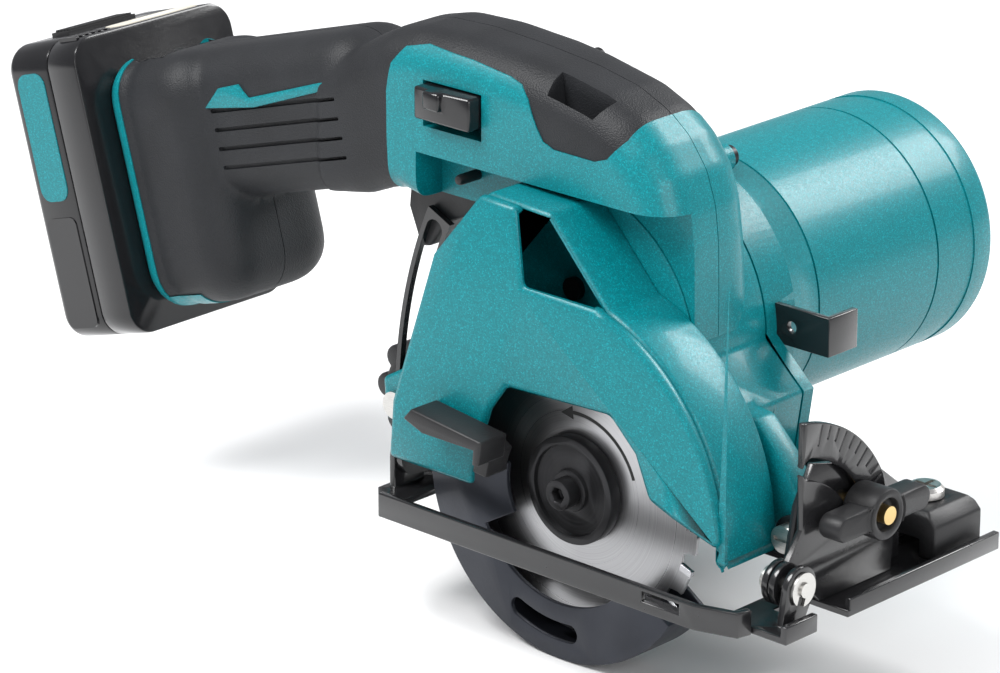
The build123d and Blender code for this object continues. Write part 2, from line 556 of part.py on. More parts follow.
def make_guard():
    shell = slab(ring_sector(*SPINDLE, GUARD_R, GUARD_R - GUARD_T, GUARD_REAR_DEG, GUARD_FRONT_DEG),
                 GUARD_NEAR_Y, GUARD_FAR_Y)
    near = ring_sector(*SPINDLE, GUARD_R, GUARD_R - 16.0, GUARD_REAR_DEG, GUARD_FRONT_DEG)
    near += ring_sector(*SPINDLE, GUARD_R, TAB_IN_R, GUARD_REAR_DEG, GUARD_REAR_DEG + 42.0)
    near -= arc_slot(*SPINDLE, GUARD_R - 8.0, 2.6, -112.0, -84.0)
    shell += slab(near, GUARD_NEAR_Y, GUARD_NEAR_Y + GUARD_T)
    far = ring_sector(*SPINDLE, GUARD_R, GUARD_RING_D / 2 - 1.0, GUARD_REAR_DEG, GUARD_FRONT_DEG)
    far += Pos(*SPINDLE) * Circle(GUARD_RING_D / 2)
    far -= Pos(*SPINDLE) * Circle(NOSE_D / 2 + NOSE_GAP)
    shell += slab(far, GUARD_FAR_Y - GUARD_T, GUARD_FAR_Y)
    save("lower_guard", shell)
    top_z = AXIS_Z + 19.0
    low_z = AXIS_Z + 9.0
    tip_x = -42.0
    root_x = -13.0
    lever = slab(outline((tip_x, top_z - 3.4), (tip_x + 3.0, top_z), (root_x, top_z - 3.0),
                         (root_x - 1.0, low_z), (root_x - 8.0, low_z - 1.0)),
                 *LEVER_Y)
    lever -= slab(outline((tip_x, low_z - 6.0), (tip_x, top_z - 6.0), (root_x - 3.0, top_z - 6.0),
                          (root_x - 4.0, low_z - 6.0)),
                  LEVER_Y[0] - 1.0, LEVER_Y[1] - 2.2)
    arm = slab(ring_sector(*SPINDLE, TAB_OUT_R, TAB_IN_R, 150.0, 174.0), LEVER_Y[1] - 2.2, GUARD_NEAR_Y)
    save("guard_lever", lever + arm)
    spring_x = CASE_REAR_X + 7.2
    low_z = CASE_FLOOR + 1.0
    high_z = low_z + 12.0
    coil = plate(Pos(spring_x, 0) * (Circle(2.5) - Circle(1.7)), low_z, high_z)
    coil += Pos(spring_x, 0, low_z - 2.2) * Rot(0, 90, 0) * Torus(2.6, 0.5)
    coil += Pos(spring_x, 0, high_z + 2.2) * Rot(90, 0, 0) * Torus(2.6, 0.5)
    save("guard_spring", coil)


# ---- Handle forms ----
LEAN_RAD = math.radians(LEAN)
FORWARD = (math.cos(LEAN_RAD), 0.0, math.sin(LEAN_RAD))
UPWARD = (-math.sin(LEAN_RAD), 0.0, math.cos(LEAN_RAD))


def rear_plane(ahead=0.0, up=0.0):
    """A plane across the handle: x is Y, y is the handle's up, z points forward."""
    origin = tuple(base + ahead * f + up * u for base, f,
                   u in zip((REAR_X, HAND_Y, REAR_Z), FORWARD, UPWARD))
    return Plane(origin=origin, x_dir=(0, 1, 0), z_dir=FORWARD)


def grip_form(inset):
    section = RectangleRounded(GRIP_W - 2 * inset, GRIP_H - 2 * inset, GRIP_R - inset)
    return extrude(rear_plane(FOOT_L - 22.0, GRIP_UP) * section, GRIP_L - 18.0)


def foot_form(inset):
    back = rear_plane(0.0) * RectangleRounded(FOOT_W - 2 * inset, FOOT_H - 2 * inset, FOOT_R - inset)
    front = rear_plane(FOOT_L - inset) * RectangleRounded(FOOT_W - 8.0 - 2 * inset,
                                                          FOOT_H - 14.0 - 2 * inset, FOOT_R - inset)
    return loft([back, front])


def body_sketch(inset):
    """The body from the side: from the grip over the trigger to the nose above the gears."""
    top = BODY_TOP_Z - inset
    nose = BODY_FRONT_X - inset
    low = AXIS_Z + inset
    return outline(
        (-90.0, top - 11.0), (-80.0, top - 3.6), (-71.0, top - 0.7), (-30.0, top - 3.0), (-2.0,
                                                                                          top - 6.6), (8.0, top - 10.0),
        (18.0 - inset * 0.4, top - 17.0), (25.0 - inset * 0.8, top - 25.0), (nose, top - 36.0), (nose,
                                                                                                 low + 67.0),
        (-46.0 + inset, low + 54.0), (-50.0 + inset, low + 62.0), (-57.0, low + 67.5),
        (-69.0, low + 67.5), (-78.0, low + 65.0), (-83.0 + inset, low + 61.0), (-92.0, low + 62.0))


def body_form(inset):
    half = BODY_W / 2 - inset
    section = Pos(HAND_Y, BODY_TOP_Z - 45.0 - inset) * RectangleRounded(2 * half, 90.0, 13.0 - inset)
    return slab(body_sketch(inset), HAND_Y - half, HAND_Y + half) & panel(section, -100.0, 60.0)


def handle_form(inset):
    return body_form(inset) + grip_form(inset) + foot_form(inset)


def side_panel():
    """The bare side of the body, where no rubber is moulded on."""
    return outline((-72.0, 40.0), (-73.0, AXIS_Z + 88.0), (-68.0, AXIS_Z + 107.0),
                   (-58.0, AXIS_Z + 110.0),
                   (-25.5, AXIS_Z + 106.0), (-20.0, AXIS_Z + 102.0), (-13.0, AXIS_Z + 92.0), (6.5,
                                                                                              AXIS_Z + 91.0),
                   (12.0, AXIS_Z + 96.0), (20.0, BODY_TOP_Z + 4.0), (60.0, BODY_TOP_Z), (60.0, 40.0))


STUB_UP = 0.0
TRIGGER_PIVOT = (-47.5, AXIS_Z + 75.0)
TRIGGER_PIN_R = 1.5
TRIGGER_W = 14.0
LOCK_X = (-57.5, -37.0)
LOCK_Z = (AXIS_Z + 92.0, AXIS_Z + 101.2)
LOCK_TRAVEL = 2.6
LOCK_GAP = 0.6
SHELL_SCREW_R = 1.45
SHELL_SCREWS = (
    (-28.0, AXIS_Z + 106.0, BODY_W / 2), (8.0, AXIS_Z + 92.0, BODY_W / 2), (-82.0, AXIS_Z + 98.0,
                                                                            BODY_W / 2),
    (-108.0, AXIS_Z + 68.0, GRIP_W / 2), (-147.0, AXIS_Z + 27.0, FOOT_W / 2 - 3.0))


def make_handle():
    outer = handle_form(0)
    middle = handle_form(RUBBER_T)
    inner = handle_form(RUBBER_T + SHELL_T)
    bare = slab(side_panel(), -60.0, 80.0)
    bare += extrude(rear_plane(-1.0) * Rectangle(120.0, 160.0), FOOT_LIP + 1.0)
    shell = middle + (outer & bare)
    shell -= inner
    for x, z, half in SHELL_SCREWS:
        shell += rod_y(x, z, 3.6, HAND_Y - half, HAND_Y + half) & middle
    clear = rod_y(*MOTOR, GEARBOX_R + 0.4, CASE_BACK_Y - 1.0, 60.0)
    clear += box((-60.0, 60.0), (-30.0, CASE_BACK_Y), (0.0, CASE_TOP_Z + 0.8))
    shell -= clear
    slot_x = (-82.0, -43.0)
    shell -= box(slot_x, (HAND_Y - TRIGGER_W / 2 - 1.0, HAND_Y + TRIGGER_W / 2 + 1.0),
                 (AXIS_Z + 40.0, AXIS_Z + 78.0))
    lock_slot = box((LOCK_X[0] - LOCK_GAP, LOCK_X[1] + LOCK_GAP), (-10.0, 60.0),
                    (LOCK_Z[0] - LOCK_TRAVEL - LOCK_GAP, LOCK_Z[1] + LOCK_GAP))
    shell -= lock_slot
    stub_low = STUB_UP - STUB_H / 2 - STUB_GAP
    stub_slot = rear_plane(-1.0) * (Pos(0, stub_low + STUB_H) * Rectangle(STUB_W + 2 * STUB_GAP,
                                                                          2 * STUB_H))
    stub_way = extrude(stub_slot, STUB_L + 1.0 + STUB_GAP)
    shell -= stub_way
    half_pin = BODY_W / 2 - 2.0
    shell -= rod_y(*TRIGGER_PIVOT, TRIGGER_PIN_R + PIN_GAP, HAND_Y - half_pin, HAND_Y + half_pin)
    rubber = outer - middle - bare - clear - stub_way - lock_slot
    rubber -= box(slot_x, (HAND_Y - TRIGGER_W / 2 - 1.0, HAND_Y + TRIGGER_W / 2 + 1.0),
                  (AXIS_Z + 40.0, AXIS_Z + 78.0))
    screws = []
    for x, z, half in SHELL_SCREWS:
        head_y = HAND_Y + half - 4.5
        shell -= rod_y(x, z, SHELL_SCREW_R, HAND_Y - 11.0, head_y)
        shell -= rod_y(x, z, 2.9, head_y, head_y + 20.0)
        rubber -= rod_y(x, z, 2.9, HAND_Y + 1.0, HAND_Y + 40.0)
        screws.append(rod_y(x, z, SHELL_SCREW_R, HAND_Y - 11.0, head_y) + rod_y(x, z, 2.8, head_y,
                                                                                head_y + 2.2))
    right = box((-260.0, 100.0), (-60.0, HAND_Y), (-60.0, 200.0))
    left = box((-260.0, 100.0), (HAND_Y, 120.0), (-60.0, 200.0))
    save("right_shell", shell & right)
    save("left_shell", shell & left)
    save("right_grip", rubber & right)
    save("left_grip", rubber & left)
    save("handle_screws", Compound(screws))


def make_controls():
    low, high = HAND_Y - TRIGGER_W / 2, HAND_Y + TRIGGER_W / 2
    x, z = TRIGGER_PIVOT
    trigger = slab(outline((x + 3.5, z + 3.0), (x + 3.5, z - 4.0), (x - 4.5, z - 13.0),
                           (x - 14.5, z - 18.0), (x - 20.5, z - 26.0),
                           (x - 24.5, z - 27.0), (x - 29.0, z - 16.0), (x - 27.0, z + 2.0)), low, high)
    trigger += rod_y(x, z, TRIGGER_PIN_R, HAND_Y - BODY_W / 2 + 2.4, HAND_Y + BODY_W / 2 - 2.4)
    save("trigger", trigger)
    switch = box((-77.5, -60.5), (HAND_Y - 8.0, HAND_Y + 8.0), (AXIS_Z + 83.5, AXIS_Z + 90.5))
    switch += box((-74.0, -69.0), (HAND_Y - 2.5, HAND_Y + 2.5), (AXIS_Z + 82.2, AXIS_Z + 83.5))
    save("switch_unit", switch)
    bar = box(LOCK_X, (-4.0, 2 * HAND_Y + 4.0), LOCK_Z)
    bar += box((LOCK_X[0] + 5.0, LOCK_X[0] + 11.0), (-6.0, 2 * HAND_Y + 6.0),
               (LOCK_Z[0] + 4.0, LOCK_Z[1]))
    save("lock_off_button", bar)


# ---- Battery ----
def battery_block(height, width, radius, low, high):
    sketch = Pos(0, BATTERY_UP) * RectangleRounded(width, height, radius)
    return extrude(rear_plane(low) * sketch, high - low)


BUTTON_W = 26.0
BUTTON_L = 8.0
BUTTON_TRAVEL = 2.0
BUTTON_GAP = 0.3


def make_battery():
    gap = 0.3
    top = BATTERY_UP + BATTERY_H / 2
    button_ahead = -BATTERY_L + 2.0
    pocket = extrude(rear_plane(button_ahead - BUTTON_GAP) * (Pos(0,
                                                                  top - 1.0) * Rectangle(BUTTON_W + 2 * BUTTON_GAP, 6.4)),
                     BUTTON_L + 2 * BUTTON_GAP)
    rear = battery_block(BATTERY_H, BATTERY_W, BATTERY_R, -BATTERY_L, -BATTERY_SPLIT)
    rear -= battery_block(BATTERY_H - 2 * BATTERY_T, BATTERY_W - 2 * BATTERY_T, BATTERY_R - BATTERY_T,
                          -BATTERY_L + BATTERY_T, -BATTERY_SPLIT)
    end_edges = [edge for edge in rear.edges() if rear_plane(-BATTERY_L).to_local_coords(edge.center()).Z < 0.01
                 and rear_plane(-BATTERY_L).to_local_coords(edge.center()).Z > -0.01]
    rear = fillet(end_edges, BATTERY_EDGE_R)
    save("battery_rear_case", rear - pocket)
    front = battery_block(BATTERY_H, BATTERY_W, BATTERY_R, -BATTERY_SPLIT, -gap)
    front -= battery_block(BATTERY_H - 2 * BATTERY_T, BATTERY_W - 2 * BATTERY_T, BATTERY_R - BATTERY_T,
                           -BATTERY_SPLIT, -gap - BATTERY_T)
    stub = extrude(rear_plane(-gap) * (Pos(0, STUB_UP) * RectangleRounded(STUB_W, STUB_H - 2 * STUB_GAP,
                                                                          3.0)), STUB_L)
    stub -= extrude(rear_plane(-gap - 1.0) * (Pos(0, STUB_UP) * RectangleRounded(STUB_W - 5.0,
                                                                                 STUB_H - 6.0, 2.0)), STUB_L - 1.5)
    save("battery_front_case", front + stub)
    cells = []
    for i in (-1, 0, 1):
        low = rear_plane(-BATTERY_L / 2 - 0.2, BATTERY_UP - CELL_L / 2).origin
        across = Plane(origin=(low.X, HAND_Y + i * (CELL_D + 0.6), low.Z), x_dir=(0, 1, 0), z_dir=UPWARD)
        cells.append(extrude(across * Circle(CELL_D / 2), CELL_L))
    save("battery_cells", Compound(cells))
    height = BUTTON_TRAVEL + 1.0
    button = extrude(rear_plane(button_ahead) * (Pos(0, top + 1.0 - height / 2) * Rectangle(BUTTON_W,
                                                                                            height)), BUTTON_L)
    for i in range(5):
        across = rear_plane(button_ahead + 0.8 + 1.5 * i)
        button += extrude(across * (Pos(0, top + 1.2) * Rectangle(BUTTON_W - 2.0, 0.8)), 0.7)
    save("battery_button", button)


# ---- Hook ----
HOOK_T = 2.0


def hook_leg():
    return box((MOTOR[0] + GEARBOX_R - 8.0, MOTOR[0] + GEARBOX_R + 18.0), (NECK_Y, NECK_Y + HOOK_T),
               (MOTOR[1] - 2.5, MOTOR[1] + 8.5))


def make_hook():
    hook = hook_leg()
    tip_x = MOTOR[0] + GEARBOX_R + 18.0
    hook += box((tip_x - HOOK_T, tip_x), (NECK_Y, NECK_Y + 12.0), (MOTOR[1] - 2.5, MOTOR[1] + 8.5))
    hook -= rod_y(MOTOR[0] + GEARBOX_R + 5.0, MOTOR[1] + 3.0, 1.6, NECK_Y, NECK_Y + HOOK_T)
    save("hook", hook)


# ---- Base: what lies on the work ----
EAR_X = 77.0
REAR_EAR_X = -64.0
REAR_PLATE_X = -61.6
FENCE_X = (57.0, 80.0)
FENCE_Y = (52.0, 72.0)
FENCE_H = 15.0
FENCE_BAR = (12.0, 5.0)
FENCE_SCREW_R = 3.0
FENCE_MID_X = (FENCE_X[0] + FENCE_X[1]) / 2
FENCE_MID_Y = (FENCE_Y[0] + FENCE_Y[1]) / 2
TAB_Y = (-14.0, -1.3)
PLATE_RIGHT_Y = 11.0
BEVEL_BOLT = polar(BEVEL_Y, BEVEL_Z, QUADRANT_SLOT_R, BEVEL_BOLT_DEG)


def make_base():
    right = BASE_RIGHT_Y
    sheet = outline((BASE_REAR_X, right + 12.0), (BASE_REAR_X + 12.0, right), (60.0, right),
                    (72.0, right + 3.6), (72.0, TAB_Y[0]),
                    (BASE_FRONT_X, TAB_Y[0]), (BASE_FRONT_X, TAB_Y[1]), (69.0, TAB_Y[1]), (69.0,
                                                                                           PLATE_RIGHT_Y),
                    (BASE_FRONT_X, PLATE_RIGHT_Y), (BASE_FRONT_X, BASE_LEFT_Y), (BASE_REAR_X,
                                                                                 BASE_LEFT_Y))
    sheet -= rounded(3.0, (WINDOW_REAR_X, right + RAIL_W), (WINDOW_FRONT_X - 4.0, right + RAIL_W),
                     (WINDOW_FRONT_X, right + RAIL_W + 5.0), (WINDOW_FRONT_X,
                                                              WINDOW_LEFT_Y), (WINDOW_REAR_X,
                                                                               WINDOW_LEFT_Y))
    base = plate(sheet, 0, SHEET_T)
    wall = outline((BASE_REAR_X + 12.0, right), (60.0, right), (72.0, right + 3.6), (73.0, right + 8.0),
                   (71.0, right + 8.4),
                   (70.2, right + 5.2), (59.6, right + SHEET_T), (BASE_REAR_X + 12.0, right + SHEET_T))
    base += plate(wall, 0, RAIL_H)
    base -= box((42.0, 55.0), (right, right + SHEET_T), (SHEET_T + 0.8, RAIL_H - 1.2))
    base += box((BASE_FRONT_X - SHEET_T, BASE_FRONT_X), TAB_Y, (0, LIP_H))
    base += box((BASE_FRONT_X - SHEET_T, BASE_FRONT_X), (PLATE_RIGHT_Y + 1.0, BASE_LEFT_Y), (0, LIP_H))
    base += box((WINDOW_REAR_X + 1.0, WINDOW_FRONT_X), (BASE_LEFT_Y - SHEET_T, BASE_LEFT_Y), (0, LIP_H))
    ear = Pos(BEVEL_Y, BEVEL_Z) * Circle(BEVEL_EAR_R)
    front_ear = ear + outline((BEVEL_Y - BEVEL_EAR_R, BEVEL_Z), (BEVEL_Y - BEVEL_EAR_R - 2.0, 0),
                              (TAB_Y[1], 0), (BEVEL_Y + 5.0, BEVEL_Z - 3.0))
    rear_ear = ear + outline((BEVEL_Y - BEVEL_EAR_R, BEVEL_Z), (BEVEL_Y - BEVEL_EAR_R, 0),
                             (BEVEL_Y + BEVEL_EAR_R, 0), (BEVEL_Y + BEVEL_EAR_R, BEVEL_Z))
    base += panel(front_ear, EAR_X, EAR_X + SHEET_T)
    base += panel(rear_ear, REAR_EAR_X, REAR_EAR_X + SHEET_T)
    base -= rod_x(BEVEL_Y, BEVEL_Z, BEVEL_PIN_D / 2, REAR_EAR_X - 1.0, EAR_X + 6.0)
    save("base", base)
    disc = Pos(BEVEL_Y, BEVEL_Z) * Circle(QUADRANT_R)
    span = outline((3.0, SHEET_T), (3.0, 60.0), (60.0, 60.0), (60.0, SHEET_T))
    quadrant = (disc & span) + ear + outline((BEVEL_Y, BEVEL_Z - BEVEL_EAR_R), (3.5, 9.0), (3.5, 22.0),
                                             (3.0, 24.0), (BEVEL_Y, BEVEL_Z + BEVEL_EAR_R))
    quadrant -= Pos(BEVEL_Y, BEVEL_Z) * Circle(BEVEL_PIN_D / 2)
    quadrant -= outline((-4.0, -10.0), (PLATE_RIGHT_Y, -10.0), (PLATE_RIGHT_Y, SHEET_T), (6.0, 7.0),
                        (-4.0, 4.0))
    quadrant -= arc_slot(BEVEL_Y, BEVEL_Z, QUADRANT_SLOT_R, BEVEL_BOLT_D / 2 + SLOT_GAP,
                         BEVEL_BOLT_DEG - 2.0, BEVEL_BOLT_DEG + BEVEL_RANGE + 2.0)
    plate_shape = panel(quadrant, QUADRANT_X, QUADRANT_X + SHEET_T)
    for i in range(10):
        angle = BEVEL_BOLT_DEG + 5.0 * i
        long = 5.5 if i % 3 == 0 else 3.5
        at = polar(BEVEL_Y, BEVEL_Z, QUADRANT_R - 0.6 - long / 2, angle)
        mark = Pos(*at) * Rot(0, 0, angle) * Rectangle(long, 0.5)
        plate_shape -= panel(mark, QUADRANT_X + SHEET_T - 0.3, QUADRANT_X + SHEET_T)
    save("quadrant", plate_shape)
    pin_r = BEVEL_PIN_D / 2
    front_pin = rod_x(BEVEL_Y, BEVEL_Z, pin_r, BRACKET_X - 1.0, EAR_X + 3.6)
    front_pin += rod_x(BEVEL_Y, BEVEL_Z, pin_r + 1.4, BRACKET_X - 2.6, BRACKET_X - 0.4)
    groove = panel(Pos(BEVEL_Y, BEVEL_Z) * (Circle(pin_r) - Circle(pin_r - 0.5)), EAR_X + SHEET_T + 0.1,
                   EAR_X + SHEET_T + 0.9)
    rear_pin = rod_x(BEVEL_Y, BEVEL_Z, pin_r, REAR_EAR_X - 2.0, REAR_PLATE_X + SHEET_T + 0.2)
    rear_groove = panel(Pos(BEVEL_Y, BEVEL_Z) * (Circle(pin_r) - Circle(pin_r - 0.5)), REAR_EAR_X - 0.9,
                        REAR_EAR_X - 0.1)
    save("bevel_pins", Compound([front_pin - groove, rear_pin - rear_groove]))
    clip = Pos(BEVEL_Y, BEVEL_Z) * (Circle(pin_r + 2.6) - Circle(pin_r - 0.4))
    clip -= Pos(BEVEL_Y, BEVEL_Z) * Rot(0, 0, 250) * Pos(6.0, 0) * Rectangle(9.0, 2.8)
    clips = [panel(clip, EAR_X + SHEET_T + 0.1, EAR_X + SHEET_T + 0.9),
             panel(clip, REAR_EAR_X - 0.9, REAR_EAR_X - 0.1)]
    save("retaining_clips", Compound(clips))


def make_fence_clamp():
    clamp = box(FENCE_X, FENCE_Y, (SHEET_T, FENCE_H))
    clamp = chamfer(clamp.edges().filter_by(Axis.Y).group_by(Axis.Z)[-1], 3.5)
    clamp = chamfer(clamp.edges().group_by(Axis.Z)[-1].filter_by(Axis.X), 1.5)
    clamp -= box((FENCE_MID_X - FENCE_BAR[0] / 2, FENCE_MID_X + FENCE_BAR[0] / 2),
                 (FENCE_Y[0] - 1.0, FENCE_Y[1] + 1.0),
                 (SHEET_T, SHEET_T + FENCE_BAR[1]))
    clamp -= plate(Pos(FENCE_MID_X, FENCE_MID_Y) * Circle(FENCE_SCREW_R + PIN_GAP), SHEET_T, FENCE_H)
    save("fence_clamp", clamp)
    screw = plate(Pos(FENCE_MID_X, FENCE_MID_Y) * Circle(FENCE_SCREW_R), SHEET_T + FENCE_BAR[1] + 0.6,
                  FENCE_H + 0.4)
    head = plate(Pos(FENCE_MID_X, FENCE_MID_Y) * Circle(5.2), FENCE_H + 0.4, FENCE_H + 3.4)
    screw += chamfer(head.edges().filter_by(GeomType.CIRCLE).sort_by(Axis.Z)[-1], 1.0)
    screw -= plate(Pos(FENCE_MID_X, FENCE_MID_Y) * (Rectangle(7.0, 1.2) + Rectangle(1.2, 7.0)),
                   FENCE_H + 2.0, FENCE_H + 3.4)
    save("fence_screw", screw)


# ---- Hinge frame: turns with the depth setting, but not with the bevel ----
FAR_EAR_Y = ARM_Y[1] + 0.3
NEAR_EAR_Y = ARM_Y[0] - 0.3 - SHEET_T
GUSSET_Y = NECK_Y + 0.6
GUIDE_Y = CASE_BACK_Y + 0.3
GUIDE_HALF_W = 4.5
GUIDE_R = DEPTH_X - CLAMP_X


def make_hinge_frame():
    ear = Pos(BEVEL_Y, BEVEL_Z) * Circle(BEVEL_EAR_R)
    face = outline((1.0, 5.5), (14.0, SHEET_T + 1.5), (GUSSET_Y + SHEET_T, SHEET_T + 1.5),
                   (GUSSET_Y + SHEET_T, 24.0),
                   (34.0, 34.0), (10.0, 40.0), (4.0, 30.0), (1.0, 16.0)) + ear
    face -= Pos(BEVEL_Y, BEVEL_Z) * Circle(BEVEL_PIN_D / 2 + PIN_GAP)
    face -= Pos(*BEVEL_BOLT) * Circle(BEVEL_BOLT_D / 2)
    frame = panel(face, BRACKET_X, BRACKET_X + SHEET_T)
    near = Pos(DEPTH_X, DEPTH_Z) * Circle(DEPTH_EAR_R)
    near += outline((DEPTH_X, DEPTH_Z - DEPTH_EAR_R), (BRACKET_X, DEPTH_Z - DEPTH_EAR_R),
                    (BRACKET_X, DEPTH_Z + DEPTH_EAR_R), (DEPTH_X, DEPTH_Z + DEPTH_EAR_R))
    frame += slab(near, NEAR_EAR_Y, NEAR_EAR_Y + SHEET_T)
    far = Pos(DEPTH_X, DEPTH_Z) * Circle(4.2)
    far += outline((DEPTH_X, DEPTH_Z - 4.2), (BRACKET_X, DEPTH_Z - 4.2), (BRACKET_X, DEPTH_Z + 4.2),
                   (DEPTH_X, DEPTH_Z + 4.2))
    frame += slab(far, FAR_EAR_Y, FAR_EAR_Y + SHEET_T)
    gusset = outline((BRACKET_X, SHEET_T + 1.5), (BRACKET_X, 24.0), (44.0, 30.0), (33.0, 38.0),
                     (33.0, 30.0), (42.0, 14.0), (54.0, SHEET_T + 2.5))
    frame += slab(gusset, GUSSET_Y, GUSSET_Y + SHEET_T)
    frame -= rod_y(DEPTH_X, DEPTH_Z, DEPTH_PIN_D / 2 + PIN_GAP, NEAR_EAR_Y, FAR_EAR_Y + SHEET_T)
    save("front_bracket", frame)
    guide = ring_sector(DEPTH_X, DEPTH_Z, GUIDE_R + GUIDE_HALF_W, GUIDE_R - GUIDE_HALF_W,
                        180.0 - DEPTH_RANGE - 3.0, 183.0)
    foot_z = SHEET_T + 2.0
    guide += outline((CLAMP_X - GUIDE_HALF_W + 0.1, DEPTH_Z - 3.8), (CLAMP_X - 3.0, foot_z),
                     (REAR_PLATE_X + SHEET_T, foot_z), (REAR_PLATE_X + SHEET_T, 14.0),
                     (CLAMP_X + 6.0, 14.0), (CLAMP_X + 6.0, DEPTH_Z))
    guide -= arc_slot(DEPTH_X, DEPTH_Z, GUIDE_R, CLAMP_D / 2 + SLOT_GAP, 180.0 - DEPTH_RANGE - 1.0, 180.0)
    depth_guide = slab(guide, GUIDE_Y, GUIDE_Y + SHEET_T)
    cross = Pos(BEVEL_Y, BEVEL_Z) * Circle(BEVEL_EAR_R - 0.5)
    cross += outline((BEVEL_Y, foot_z + 1.2), (GUIDE_Y + SHEET_T, foot_z), (GUIDE_Y + SHEET_T, 14.0),
                     (BEVEL_Y, 14.0))
    cross -= Pos(BEVEL_Y, BEVEL_Z) * Circle(BEVEL_PIN_D / 2 + PIN_GAP)
    depth_guide += panel(cross, REAR_PLATE_X, REAR_PLATE_X + SHEET_T)
    save("depth_guide", depth_guide)
    bolt = rod_x(*BEVEL_BOLT, 2.9, BRACKET_X - 2.2, BRACKET_X)
    bolt += rod_x(*BEVEL_BOLT, BEVEL_BOLT_D / 2, BRACKET_X, QUADRANT_X + 13.4)
    save("bevel_bolt", bolt)


def make_wing_nut():
    y, z = BEVEL_BOLT
    low = QUADRANT_X + SHEET_T + 0.4
    nut = rod_x(y, z, 7.0, low, low + 10.5)
    wings = Pos(y, z) * (Rectangle(WING_SPAN - 7.0, 7.0) + Pos(WING_SPAN / 2 - 3.5,
                                                               0) * Circle(3.5) + Pos(3.5 - WING_SPAN / 2, 0) * Circle(3.5))
    nut += panel(wings, low + 2.2, low + 9.6)
    nut -= rod_x(y, z, BEVEL_BOLT_D / 2 + PIN_GAP, low, low + 7.6)
    nut -= rod_x(y, z, 4.4, low + 7.6, low + 10.5)
    save("wing_nut", nut)


def make_depth_clamp():
    bolt = rod_y(DEPTH_X, DEPTH_Z, 3.8, NEAR_EAR_Y - 3.6, NEAR_EAR_Y - 0.1)
    bolt += rod_y(DEPTH_X, DEPTH_Z, DEPTH_PIN_D / 2, NEAR_EAR_Y - 0.1, FAR_EAR_Y + SHEET_T + 3.0)
    bolt += rod_y(DEPTH_X, DEPTH_Z, 3.6, FAR_EAR_Y + SHEET_T + 0.3, FAR_EAR_Y + SHEET_T + 2.6)
    bolt -= slab(Pos(DEPTH_X, DEPTH_Z) * Rectangle(6.0, 1.2), NEAR_EAR_Y - 3.6, NEAR_EAR_Y - 2.6)
    save("depth_pivot_bolt", bolt)
    low = GUIDE_Y + SHEET_T + 0.3
    clamp = rod_y(CLAMP_X, CLAMP_Z, 4.0, CASE_BACK_Y - CASE_T - 3.0, CASE_BACK_Y - CASE_T)
    clamp += rod_y(CLAMP_X, CLAMP_Z, CLAMP_D / 2, CASE_BACK_Y - CASE_T, low + KNOB_L - 2.6)
    save("depth_bolt", clamp)
    lobe_r = 3.6
    star = Pos(CLAMP_X, CLAMP_Z) * Circle(KNOB_R - lobe_r)
    for i in range(KNOB_LOBES):
        star += Pos(*polar(CLAMP_X, CLAMP_Z, KNOB_R - lobe_r, 360 * i / KNOB_LOBES)) * Circle(lobe_r)
    knob = slab(star, low + 2.5, low + KNOB_L)
    knob += rod_y(CLAMP_X, CLAMP_Z, 7.0, low, low + 2.5)
    knob -= rod_y(CLAMP_X, CLAMP_Z, CLAMP_D / 2 + PIN_GAP, low, low + KNOB_L - 2.5)
    save("depth_knob", knob)


make_drive()
make_arbor()
make_bearings()
make_gear_housing()
make_motor()
make_case()
make_guard()
make_handle()
make_controls()
make_battery()
make_hook()
make_base()
make_fence_clamp()
make_hinge_frame()
make_wing_nut()
make_depth_clamp()
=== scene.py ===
"""The looks of a compact battery circular saw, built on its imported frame.

Every new piece is modelled in metres in the frame's own axes: +X is the feed direction, +Y points from the
blade to the motor and +Z is up from the sole.
"""

import json
import logging
import math
from dataclasses import dataclass, field
from enum import Enum

import bpy
from mathutils import Matrix, Vector

